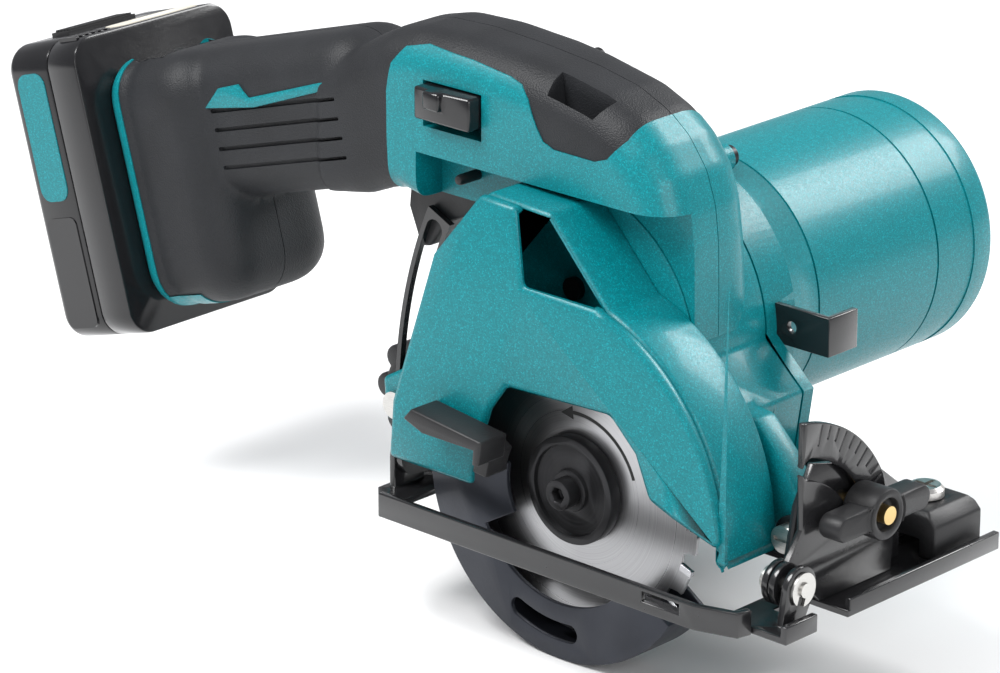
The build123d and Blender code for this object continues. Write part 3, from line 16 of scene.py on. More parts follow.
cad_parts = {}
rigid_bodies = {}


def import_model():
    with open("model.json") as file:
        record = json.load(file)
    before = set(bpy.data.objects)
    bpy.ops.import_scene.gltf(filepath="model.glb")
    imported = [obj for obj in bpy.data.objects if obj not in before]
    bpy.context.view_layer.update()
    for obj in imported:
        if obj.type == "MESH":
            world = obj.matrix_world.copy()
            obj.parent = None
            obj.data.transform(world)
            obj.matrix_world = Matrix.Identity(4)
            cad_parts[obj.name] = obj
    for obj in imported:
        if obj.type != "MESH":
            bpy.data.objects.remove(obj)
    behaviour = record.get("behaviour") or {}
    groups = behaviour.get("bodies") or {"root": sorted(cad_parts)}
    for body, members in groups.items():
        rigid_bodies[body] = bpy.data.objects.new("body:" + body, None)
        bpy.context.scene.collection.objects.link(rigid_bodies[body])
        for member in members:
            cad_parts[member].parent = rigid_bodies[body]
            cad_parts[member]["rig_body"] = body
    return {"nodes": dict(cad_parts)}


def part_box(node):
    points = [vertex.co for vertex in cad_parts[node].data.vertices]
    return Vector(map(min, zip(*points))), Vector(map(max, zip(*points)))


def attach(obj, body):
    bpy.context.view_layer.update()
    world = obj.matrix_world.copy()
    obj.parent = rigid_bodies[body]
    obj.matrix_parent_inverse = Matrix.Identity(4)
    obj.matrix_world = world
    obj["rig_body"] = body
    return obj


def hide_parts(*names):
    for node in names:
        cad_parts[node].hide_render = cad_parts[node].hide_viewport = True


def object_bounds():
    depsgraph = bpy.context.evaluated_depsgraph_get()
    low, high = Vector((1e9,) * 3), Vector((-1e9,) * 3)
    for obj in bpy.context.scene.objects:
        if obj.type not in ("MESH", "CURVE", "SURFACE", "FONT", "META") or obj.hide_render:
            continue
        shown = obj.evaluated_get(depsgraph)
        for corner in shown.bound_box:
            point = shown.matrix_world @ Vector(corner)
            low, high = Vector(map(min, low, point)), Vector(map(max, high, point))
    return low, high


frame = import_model()
CAD_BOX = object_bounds()
LOG = logging.getLogger("saw")

MM = 0.001
Point = tuple[float, float]
Colour = tuple[float, float, float]


class Side(Enum):
    """The way across which a flat outline is drawn, and so the way it is thickened."""

    ALONG_Y = "y"
    ALONG_X = "x"
    ALONG_Z = "z"


class Grain(Enum):
    """The fine surface of a finish."""

    MOULDED = "moulded"
    FLAKE = "flake"
    PEBBLE = "pebble"
    CAST = "cast"
    ROLLED = "rolled"
    TURNED = "turned"


# ---- Finishes ----

class Sheet:
    """A material's node sheet, with short calls that add and join its nodes."""

    def __init__(self, name: str) -> None:
        """Start a material with its shader in place.

        Args:
            name: The material's name.
        """
        self.material = bpy.data.materials.new(name)
        self.material.use_nodes = True
        self.tree = self.material.node_tree
        self.shader = self.tree.nodes["Principled BSDF"]
        self.place = self.add("ShaderNodeTexCoord").outputs["Object"]

    def add(self, kind: str, **settings: object) -> bpy.types.Node:
        """Add one node.

        Args:
            kind: The node's type.
            settings: Attributes set on it.

        Returns:
            The node.
        """
        node = self.tree.nodes.new(kind)
        for key, value in settings.items():
            setattr(node, key, value)
        return node

    def join(self, out: bpy.types.NodeSocket, into: bpy.types.NodeSocket) -> None:
        """Join an output to an input.

        Args:
            out: The output.
            into: The input.
        """
        self.tree.links.new(out, into)

    def noise(self, scale: float, detail: float = 3.0,
              vector: bpy.types.NodeSocket | None = None) -> bpy.types.NodeSocket:
        """Add a noise and return its value.

        Args:
            scale: Features per metre.
            detail: Octaves.
            vector: Where it is read, the object's own place by default.

        Returns:
            The noise's value output.
        """
        node = self.add("ShaderNodeTexNoise")
        node.inputs["Scale"].default_value = scale
        node.inputs["Detail"].default_value = detail
        self.join(vector or self.place, node.inputs["Vector"])
        return node.outputs["Fac"]

    def cells(self, scale: float, output: str = "Distance") -> bpy.types.NodeSocket:
        """Add a cell pattern and return one of its outputs.

        Args:
            scale: Cells per metre.
            output: The output's name.

        Returns:
            The output.
        """
        node = self.add("ShaderNodeTexVoronoi")
        node.inputs["Scale"].default_value = scale
        self.join(self.place, node.inputs["Vector"])
        return node.outputs[output]

    def ramp(self, value: bpy.types.NodeSocket,
             stops: list[tuple[float, Colour]]) -> bpy.types.NodeSocket:
        """Turn a value into a colour.

        Args:
            value: The value.
            stops: Places from 0 to 1 with their colours.

        Returns:
            The colour output.
        """
        node = self.add("ShaderNodeValToRGB")
        elements = node.color_ramp.elements
        while len(elements) < len(stops):
            elements.new(0.5)
        for element, (position, colour) in zip(elements, stops):
            element.position = position
            element.color = (*colour, 1.0)
        self.join(value, node.inputs["Fac"])
        return node.outputs["Color"]

    def spread(self, value: bpy.types.NodeSocket, low: float, high: float) -> bpy.types.NodeSocket:
        """Stretch a 0 to 1 value to a range.

        Args:
            value: The value.
            low: What 0 becomes.
            high: What 1 becomes.

        Returns:
            The stretched value.
        """
        node = self.add("ShaderNodeMapRange")
        node.inputs["To Min"].default_value = low
        node.inputs["To Max"].default_value = high
        self.join(value, node.inputs["Value"])
        return node.outputs["Result"]

    def raise_surface(self, height: bpy.types.NodeSocket, depth: float, strength: float = 1.0) -> None:
        """Use a value as the height of a fine relief.

        Args:
            height: The value.
            depth: Metres from its lowest to its highest.
            strength: How much of it shows.
        """
        node = self.add("ShaderNodeBump")
        node.inputs["Distance"].default_value = depth
        node.inputs["Strength"].default_value = strength
        self.join(height, node.inputs["Height"])
        previous = self.shader.inputs["Normal"].links
        if previous:
            self.join(previous[0].from_socket, node.inputs["Normal"])
        self.join(node.outputs["Normal"], self.shader.inputs["Normal"])


def shade(colour: Colour, by: float) -> Colour:
    """Lighten or darken a colour by a factor.

    Args:
        colour: The colour.
        by: The factor.

    Returns:
        The changed colour.
    """
    return tuple(min(1.0, c * by) for c in colour)


@dataclass(frozen=True)
class Finish:
    """One finish: its colour, how it shines and its grain."""

    name: str
    slot: str
    colour: Colour
    roughness: float = 0.45
    metallic: float = 0.0
    coat: float = 0.0
    grain: Grain = Grain.MOULDED
    grain_scale: float = 900.0
    relief: float = 0.00004

    def make(self) -> bpy.types.Material:
        """Build the finish's material.

        Returns:
            The material.
        """
        sheet = Sheet(self.name)
        shader = sheet.shader
        shader.inputs["Metallic"].default_value = self.metallic
        shader.inputs["Coat Weight"].default_value = self.coat
        shader.inputs["Coat Roughness"].default_value = 0.12
        shader.inputs["Specular IOR Level"].default_value = 0.3
        if self.grain is Grain.FLAKE:
            flakes = sheet.add("ShaderNodeSeparateColor")
            sheet.join(sheet.cells(self.grain_scale, "Color"), flakes.inputs["Color"])
            tone = sheet.ramp(flakes.outputs["Red"],
                              [(0.0, shade(self.colour, 0.72)), (0.8, self.colour),
                               (1.0, shade(self.colour, 1.45))])
            sheet.join(tone, shader.inputs["Base Color"])
            sheet.join(sheet.spread(flakes.outputs["Green"], self.roughness * 0.75,
                                    self.roughness * 1.25), shader.inputs["Roughness"])
            sheet.raise_surface(flakes.outputs["Blue"], self.relief * 0.12)
            sheet.raise_surface(sheet.noise(60.0), self.relief)
        elif self.grain is Grain.PEBBLE:
            cloud = sheet.noise(45.0)
            sheet.join(sheet.ramp(cloud, [(0.3, shade(self.colour, 0.8)),
                                          (0.7, shade(self.colour, 1.25))]), shader.inputs["Base Color"])
            sheet.join(sheet.spread(cloud, self.roughness - 0.06, self.roughness + 0.06),
                       shader.inputs["Roughness"])
            sheet.raise_surface(sheet.cells(self.grain_scale), self.relief)
            sheet.raise_surface(sheet.noise(self.grain_scale * 0.6), self.relief * 0.6)
        elif self.grain is Grain.TURNED:
            self._turned(sheet)
        elif self.grain is Grain.ROLLED:
            stretch = sheet.add("ShaderNodeMapping")
            stretch.inputs["Scale"].default_value = (1.0, 12.0, 12.0)
            sheet.join(sheet.place, stretch.inputs["Vector"])
            lines = sheet.noise(self.grain_scale, 4.0, stretch.outputs["Vector"])
            sheet.join(sheet.ramp(lines, [(0.25, shade(self.colour, 0.82)),
                                          (0.75, shade(self.colour, 1.12))]), shader.inputs["Base Color"])
            sheet.join(sheet.spread(lines, self.roughness - 0.08, self.roughness + 0.1),
                       shader.inputs["Roughness"])
            sheet.raise_surface(lines, self.relief)
        else:
            cloud = sheet.noise(70.0)
            sheet.join(sheet.ramp(cloud, [(0.3, shade(self.colour, 0.88)),
                                          (0.7, shade(self.colour, 1.14))]), shader.inputs["Base Color"])
            sheet.join(sheet.spread(sheet.noise(220.0), self.roughness - 0.05, self.roughness + 0.07),
                       shader.inputs["Roughness"])
            sheet.raise_surface(sheet.noise(self.grain_scale), self.relief)
        return sheet.material

    def _turned(self, sheet: Sheet) -> None:
        """Fine rings about the blade's axis, with soft spokes of painted highlight lightening the base
        colour.

        Args:
            sheet: The sheet being filled.
        """
        centre = sheet.add("ShaderNodeMapping")
        centre.inputs["Location"].default_value = (0.0, 0.0, -17 * MM)
        sheet.join(sheet.place, centre.inputs["Vector"])
        flat = sheet.add("ShaderNodeVectorMath", operation="MULTIPLY")
        flat.inputs[1].default_value = (1.0, 0.0, 1.0)
        sheet.join(centre.outputs["Vector"], flat.inputs[0])
        reach = sheet.add("ShaderNodeVectorMath", operation="LENGTH")
        sheet.join(flat.outputs["Vector"], reach.inputs[0])
        rings = sheet.add("ShaderNodeTexNoise", noise_dimensions="1D")
        rings.inputs["Scale"].default_value = self.grain_scale
        sheet.join(reach.outputs["Value"], rings.inputs["W"])
        split = sheet.add("ShaderNodeSeparateXYZ")
        sheet.join(centre.outputs["Vector"], split.inputs["Vector"])
        turn = sheet.add("ShaderNodeMath", operation="ARCTAN2")
        sheet.join(split.outputs["Z"], turn.inputs[0])
        sheet.join(split.outputs["X"], turn.inputs[1])
        painted_highlight_spokes = sheet.add("ShaderNodeMath", operation="SINE")
        doubled = sheet.add("ShaderNodeMath", operation="MULTIPLY")
        doubled.inputs[1].default_value = 2.0
        sheet.join(turn.outputs["Value"], doubled.inputs[0])
        sheet.join(doubled.outputs["Value"], painted_highlight_spokes.inputs[0])
        # Painted highlight: the spokes lighten the base colour in soft bands about the blade's axis, where
        # turned steel would catch the light.
        tone = sheet.ramp(sheet.spread(painted_highlight_spokes.outputs["Value"], 0.5, 1.0),
                          [(0.0, shade(self.colour, 0.75)), (1.0, shade(self.colour, 1.2))])
        fine = sheet.ramp(rings.outputs["Fac"], [(0.3, (0.8, 0.8, 0.8)), (0.7, (1.0, 1.0, 1.0))])
        mix = sheet.add("ShaderNodeMix", data_type="RGBA", blend_type="MULTIPLY")
        mix.inputs["Factor"].default_value = 0.8
        sheet.join(tone, mix.inputs["A"])
        sheet.join(fine, mix.inputs["B"])
        sheet.join(mix.outputs["Result"], sheet.shader.inputs["Base Color"])
        sheet.join(sheet.spread(rings.outputs["Fac"], self.roughness - 0.08, self.roughness + 0.12),
                   sheet.shader.inputs["Roughness"])
        sheet.raise_surface(rings.outputs["Fac"], self.relief)


TEAL = Finish("teal_plastic", "teal", (0.0, 0.178, 0.204), 0.4, 0.0, 0.1, Grain.FLAKE, 3600.0, 0.00004)
TEAL_PAINT = Finish("teal_paint", "teal_paint", (0.0, 0.17, 0.196), 0.42, 0.05, 0.12, Grain.FLAKE,
                    3200.0, 0.00006)
RUBBER = Finish("grip_rubber", "rubber", (0.0125, 0.0135, 0.0155), 0.52, 0.0, 0.0, Grain.PEBBLE, 2300.0,
                0.00009)
BLACK_PLASTIC = Finish("black_plastic", "black_plastic", (0.016, 0.016, 0.017), 0.42, 0.0, 0.0,
                       Grain.MOULDED, 2200.0, 0.00005)
GLOSS_BLACK = Finish("gloss_black", "gloss_black", (0.006, 0.006, 0.007), 0.22, 0.0, 0.4, Grain.MOULDED,
                     1200.0, 0.00002)
BLACK_STEEL = Finish("black_steel", "black_steel", (0.012, 0.012, 0.013), 0.24, 0.0, 0.6, Grain.CAST,
                     500.0, 0.00004)
GUARD_STEEL = Finish("guard_steel", "guard_steel", (0.03, 0.033, 0.042), 0.4, 0.55, 0.1, Grain.CAST,
                     900.0, 0.00003)
BLADE_STEEL = Finish("blade_steel", "blade_steel", (0.4, 0.4, 0.41), 0.3, 1.0, 0.0, Grain.TURNED, 2600.0,
                     0.00001)
CARBIDE = Finish("carbide", "carbide", (0.5, 0.5, 0.52), 0.25, 1.0, 0.0, Grain.CAST, 2000.0, 0.00001)
DARK_STEEL = Finish("dark_steel", "dark_steel", (0.03, 0.03, 0.032), 0.36, 0.7, 0.0, Grain.TURNED,
                    1500.0, 0.00001)
BRIGHT_STEEL = Finish("bright_steel", "bright_steel", (0.55, 0.54, 0.52), 0.32, 1.0, 0.0, Grain.ROLLED,
                      400.0, 0.00001)
BRASS = Finish("brass", "brass", (0.62, 0.45, 0.2), 0.34, 1.0, 0.0, Grain.CAST, 900.0, 0.00001)
COPPER = Finish("copper", "copper", (0.55, 0.22, 0.1), 0.35, 1.0, 0.0, Grain.ROLLED, 900.0, 0.00003)
MAGNET = Finish("magnet", "magnet", (0.06, 0.06, 0.065), 0.55, 0.3, 0.0, Grain.CAST, 900.0, 0.00003)
CARBON = Finish("carbon", "carbon", (0.02, 0.02, 0.02), 0.5, 0.0, 0.0, Grain.CAST, 1200.0, 0.00003)
CELL_WRAP = Finish("cell_wrap", "cell_can", (0.05, 0.2, 0.35), 0.35, 0.0, 0.3, Grain.MOULDED, 900.0,
                   0.00002)
LABEL = Finish("pale_label", "gloss_black", (0.72, 0.68, 0.58), 0.35, 0.0, 0.2, Grain.MOULDED, 900.0,
               0.00001)

NODE_FINISH: dict[str, Finish] = {
    "motor_housing": TEAL, "gear_housing": TEAL, "gear_housing_cover": TEAL,
    "left_shell": TEAL, "right_shell": TEAL,
    "blade_case": TEAL_PAINT, "case_cover": TEAL_PAINT, "left_grip": RUBBER, "right_grip": RUBBER,
    "case_screws": DARK_STEEL, "motor_housing_screws": DARK_STEEL,
    "handle_screws": DARK_STEEL, "motor_can": BRIGHT_STEEL,
    "motor_magnets": MAGNET, "brush_plate": BLACK_PLASTIC, "brush_holders": BRASS, "carbon_brushes": CARBON,
    "rotor_bearings": BRIGHT_STEEL, "spindle_front_bearing": BRIGHT_STEEL,
    "spindle_rear_bearing": BRIGHT_STEEL,
    "layshaft_bushes": BRASS, "switch_unit": BLACK_PLASTIC, "hook": BLACK_STEEL, "guard_spring": BRIGHT_STEEL,
    "depth_bolt": BRIGHT_STEEL, "depth_pivot_bolt": BRIGHT_STEEL,
    "saw_blade": BLADE_STEEL, "blade_tips": CARBIDE,
    "outer_flange": DARK_STEEL, "inner_flange": BRIGHT_STEEL,
    "blade_bolt": DARK_STEEL, "spindle": BRIGHT_STEEL,
    "spindle_gear": BRIGHT_STEEL, "layshaft": BRIGHT_STEEL,
    "layshaft_gear": BRIGHT_STEEL, "rotor_shaft": BRIGHT_STEEL,
    "rotor_core": BRIGHT_STEEL, "rotor_windings": COPPER, "commutator": COPPER, "cooling_fan": BLACK_PLASTIC,
    "motor_pinion": BRIGHT_STEEL, "lower_guard": GUARD_STEEL,
    "guard_lever": BLACK_PLASTIC, "trigger": BLACK_PLASTIC,
    "lock_off_button": GLOSS_BLACK, "battery_front_case": GLOSS_BLACK, "battery_rear_case": GLOSS_BLACK,
    "battery_cells": CELL_WRAP, "battery_button": BLACK_PLASTIC,
    "front_bracket": BLACK_STEEL, "depth_guide": BLACK_STEEL,
    "bevel_bolt": BRASS, "base": BLACK_STEEL, "quadrant": BLACK_STEEL, "bevel_pins": BRIGHT_STEEL,
    "retaining_clips": BRIGHT_STEEL, "fence_clamp": BLACK_PLASTIC,
    "wing_nut": BLACK_PLASTIC, "depth_knob": BLACK_PLASTIC,
    "fence_screw": BRIGHT_STEEL,
}


# ---- The bench: what shapes every piece ----

class Bench:
    """Short calls on Blender's own modelling tools."""

    @staticmethod
    def clear() -> None:
        """Leave edit mode with nothing selected."""
        if bpy.context.object and bpy.context.object.mode != "OBJECT":
            bpy.ops.object.mode_set(mode="OBJECT")
        for thing in bpy.context.view_layer.objects:
            thing.select_set(False)

    @staticmethod
    def take(piece: bpy.types.Object) -> None:
        """Select one piece alone and make it active.

        Args:
            piece: The piece.
        """
        Bench.clear()
        piece.select_set(True)
        bpy.context.view_layer.objects.active = piece

    @staticmethod
    def name_it(name: str) -> bpy.types.Object:
        """Name the piece that was just added, and return it.

        Args:
            name: Its name.

        Returns:
            The piece.
        """
        piece = bpy.context.object
        piece.name = name
        piece.data.name = name
        return piece

    @staticmethod
    def outline(name: str, points: list[Point], side: Side, low: float, high: float) -> bpy.types.Object:
        """A flat outline thickened along one axis.

        Args:
            name: The piece's name.
            points: Corners in millimetres: (x, z) along Y, (y, z) along X and (x, y) along Z.
            side: The axis it is thickened along.
            low: Where it starts, in millimetres.
            high: Where it ends.

        Returns:
            The piece.
        """
        Bench.clear()
        bpy.ops.mesh.primitive_circle_add(vertices=len(points), radius=0.01, fill_type="NGON")
        piece = Bench.name_it(name)
        for vertex, (u, v) in zip(piece.data.vertices, points):
            if side is Side.ALONG_Y:
                vertex.co = Vector((u, low, v)) * MM
            elif side is Side.ALONG_X:
                vertex.co = Vector((low, u, v)) * MM
            else:
                vertex.co = Vector((u, v, low)) * MM
        step = {Side.ALONG_Y: (0, 1, 0), Side.ALONG_X: (1, 0, 0), Side.ALONG_Z: (0, 0, 1)}[side]
        bpy.ops.object.mode_set(mode="EDIT")
        bpy.ops.mesh.select_all(action="SELECT")
        bpy.ops.mesh.extrude_region_move(TRANSFORM_OT_translate={"value": Vector(step) * (high - low) * MM})
        bpy.ops.mesh.select_all(action="SELECT")
        bpy.ops.mesh.normals_make_consistent(inside=False)
        bpy.ops.object.mode_set(mode="OBJECT")
        return piece

    @staticmethod
    def rod(name: str, start: Vector, end: Vector, radius: float, sides: int = 48) -> bpy.types.Object:
        """A round rod between two points in millimetres.

        Args:
            name: The piece's name.
            start: Centre of one end.
            end: Centre of the other.
            radius: Its radius.
            sides: Faces around it.

        Returns:
            The piece.
        """
        Bench.clear()
        way = Vector(end) - Vector(start)
        turn = way.to_track_quat("Z", "Y").to_euler()
        bpy.ops.mesh.primitive_cylinder_add(vertices=sides, radius=radius * MM, depth=way.length * MM,
                                            location=(Vector(start) + way / 2) * MM, rotation=turn)
        piece = Bench.name_it(name)
        bpy.ops.object.transform_apply(location=True, rotation=True, scale=True)
        return piece

    @staticmethod
    def apply(piece: bpy.types.Object, kind: str, **settings: object) -> bpy.types.Object:
        """Add a modifier, set it and apply it.

        Args:
            piece: The piece.
            kind: The modifier's type.
            settings: Its settings.

        Returns:
            The same piece.
        """
        Bench.take(piece)
        modifier = piece.modifiers.new(kind.lower(), kind)
        for key, value in settings.items():
            setattr(modifier, key, value)
        bpy.ops.object.modifier_apply(modifier=modifier.name)
        return piece

    @staticmethod
    def round_edges(piece: bpy.types.Object, width: float, segments: int = 3,
                    angle: float = 30.0) -> bpy.types.Object:
        """Round every sharp edge.

        Args:
            piece: The piece.
            width: The rounding's width in millimetres.
            segments: Steps across it.
            angle: Edges sharper than this many degrees are rounded.

        Returns:
            The same piece.
        """
        return Bench.apply(piece, "BEVEL", width=width * MM, segments=segments, limit_method="ANGLE",
                           angle_limit=math.radians(angle), use_clamp_overlap=False)

    @staticmethod
    def cut(piece: bpy.types.Object, tool: bpy.types.Object, how: str = "DIFFERENCE", keep: bool = False,
            solver: str = "EXACT") -> bpy.types.Object:
        """Cut a piece with another, join them or keep what they share.

        Args:
            piece: The piece that is changed.
            tool: The other piece.
            how: DIFFERENCE, UNION or INTERSECT.
            keep: Whether the tool stays for another cut.
            solver: EXACT, or MANIFOLD for two closed pieces.

        Returns:
            The changed piece.
        """
        Bench.apply(piece, "BOOLEAN", object=tool, operation=how, solver=solver)
        if not keep:
            bpy.data.objects.remove(tool, do_unlink=True)
        return piece

    @staticmethod
    def smooth(piece: bpy.types.Object, angle: float = 32.0) -> bpy.types.Object:
        """Shade a piece smooth except across sharp edges.

        Args:
            piece: The piece.
            angle: Edges sharper than this many degrees stay sharp.

        Returns:
            The same piece.
        """
        Bench.take(piece)
        bpy.ops.object.shade_smooth_by_angle(angle=math.radians(angle))
        return piece

    @staticmethod
    def copy_node(node: str, name: str) -> bpy.types.Object:
        """A merged copy of a CAD node, with its flat faces whole.

        Args:
            node: The CAD node.
            name: The copy's name.

        Returns:
            The copy.
        """
        Bench.clear()
        piece = bpy.data.objects.new(name, frame["nodes"][node].data.copy())
        piece.data.name = name
        bpy.context.scene.collection.objects.link(piece)
        Bench.take(piece)
        bpy.ops.object.mode_set(mode="EDIT")
        bpy.ops.mesh.select_all(action="SELECT")
        bpy.ops.mesh.remove_doubles(threshold=0.000002)
        bpy.ops.mesh.dissolve_limited(angle_limit=math.radians(0.4))
        bpy.ops.object.mode_set(mode="OBJECT")
        return piece

    @staticmethod
    def dress(piece: bpy.types.Object, material: bpy.types.Material) -> None:
        """Give the whole piece one material.

        Args:
            piece: The piece.
            material: The material.
        """
        piece.data.materials.clear()
        piece.data.materials.append(material)


@dataclass
class Paints:
    """Every finish's material, made once."""

    made: dict[str, bpy.types.Material] = field(default_factory=dict)

    def of(self, finish: Finish) -> bpy.types.Material:
        """The material of a finish.

        Args:
            finish: The finish.

        Returns:
            Its material.
        """
        if finish.name not in self.made:
            self.made[finish.name] = finish.make()
        return self.made[finish.name]


PAINTS = Paints()


def body_of(node: str) -> str:
    """The body that a CAD node rides on.

    Args:
        node: The CAD node.

    Returns:
        The body's name.
    """
    return frame["nodes"][node]["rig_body"]


def hand_over(piece: bpy.types.Object, finish: Finish, body: str, *nodes: str) -> None:
    """Dress a finished piece and put it on its body.

    Args:
        piece: The piece.
        finish: Its finish.
        body: The body it rides on.
        nodes: The CAD nodes it stands for.
    """
    Bench.dress(piece, PAINTS.of(finish))
    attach(piece, body)
    if nodes:
        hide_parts(*nodes)
    LOG.info("%s rides on %s", piece.name, body)


@dataclass
class CarriedParts:
    """The CAD nodes that keep their own shape, some with their edges rounded."""

    rounded: dict[str, float] = field(default_factory=dict)

    def build(self) -> None:
        """Dress every CAD node, and round the visible edges of those listed."""
        for node, piece in frame["nodes"].items():
            Bench.dress(piece, PAINTS.of(NODE_FINISH[node]))
        for node, width in self.rounded.items():
            copy = Bench.copy_node(node, node + "_piece")
            if width > 0:
                Bench.round_edges(copy, width, 2)
            Bench.smooth(copy)
            hand_over(copy, NODE_FINISH[node], body_of(node), node)


# ---- Handle ----

LEAN = math.radians(16.0)
REAR = Vector((-175.5, 20.0, 62.0))
AHEAD = Vector((math.cos(LEAN), 0.0, math.sin(LEAN)))
UPWARD = Vector((-math.sin(LEAN), 0.0, math.cos(LEAN)))


def leaning(ahead: float, across: float, up: float) -> Vector:
    """A point in millimetres from its place along, across and up the leaning handle.

    Args:
        ahead: How far it is along the handle from the battery's face.
        across: How far it is across, from the middle.
        up: How far it is up.

    Returns:
        The point.
    """
    return REAR + AHEAD * ahead + Vector((0.0, across, 0.0)) + UPWARD * up


def leaning_block(name: str, ahead: tuple[float, float], across: tuple[float, float],
                  up: tuple[float, float]) -> bpy.types.Object:
    """A box that leans with the handle.

    Args:
        name: The piece's name.
        ahead: Where it starts and ends along the handle, in millimetres from the battery's face.
        across: Where it starts and ends across it, from the middle.
        up: Where it starts and ends up it.

    Returns:
        The piece.
    """
    Bench.clear()
    middle = leaning(sum(ahead) / 2, sum(across) / 2, sum(up) / 2)
    size = Vector((ahead[1] - ahead[0], across[1] - across[0], up[1] - up[0])) * MM
    bpy.ops.mesh.primitive_cube_add(size=1.0, location=middle * MM, rotation=(0.0, -LEAN, 0.0),
                                    scale=size)
    piece = Bench.name_it(name)
    bpy.ops.object.transform_apply(location=True, rotation=True, scale=True)
    return piece


def upright_block(name: str, x: tuple[float, float], y: tuple[float, float],
                  z: tuple[float, float]) -> bpy.types.Object:
    """A box in line with the frame's axes, in millimetres.

    Args:
        name: The piece's name.
        x: Where it starts and ends along X.
        y: Where it starts and ends along Y.
        z: Where it starts and ends along Z.

    Returns:
        The piece.
    """
    return Bench.outline(name, [(x[0], z[0]), (x[1], z[0]), (x[1], z[1]), (x[0], z[1])], Side.ALONG_Y,
                         y[0], y[1])


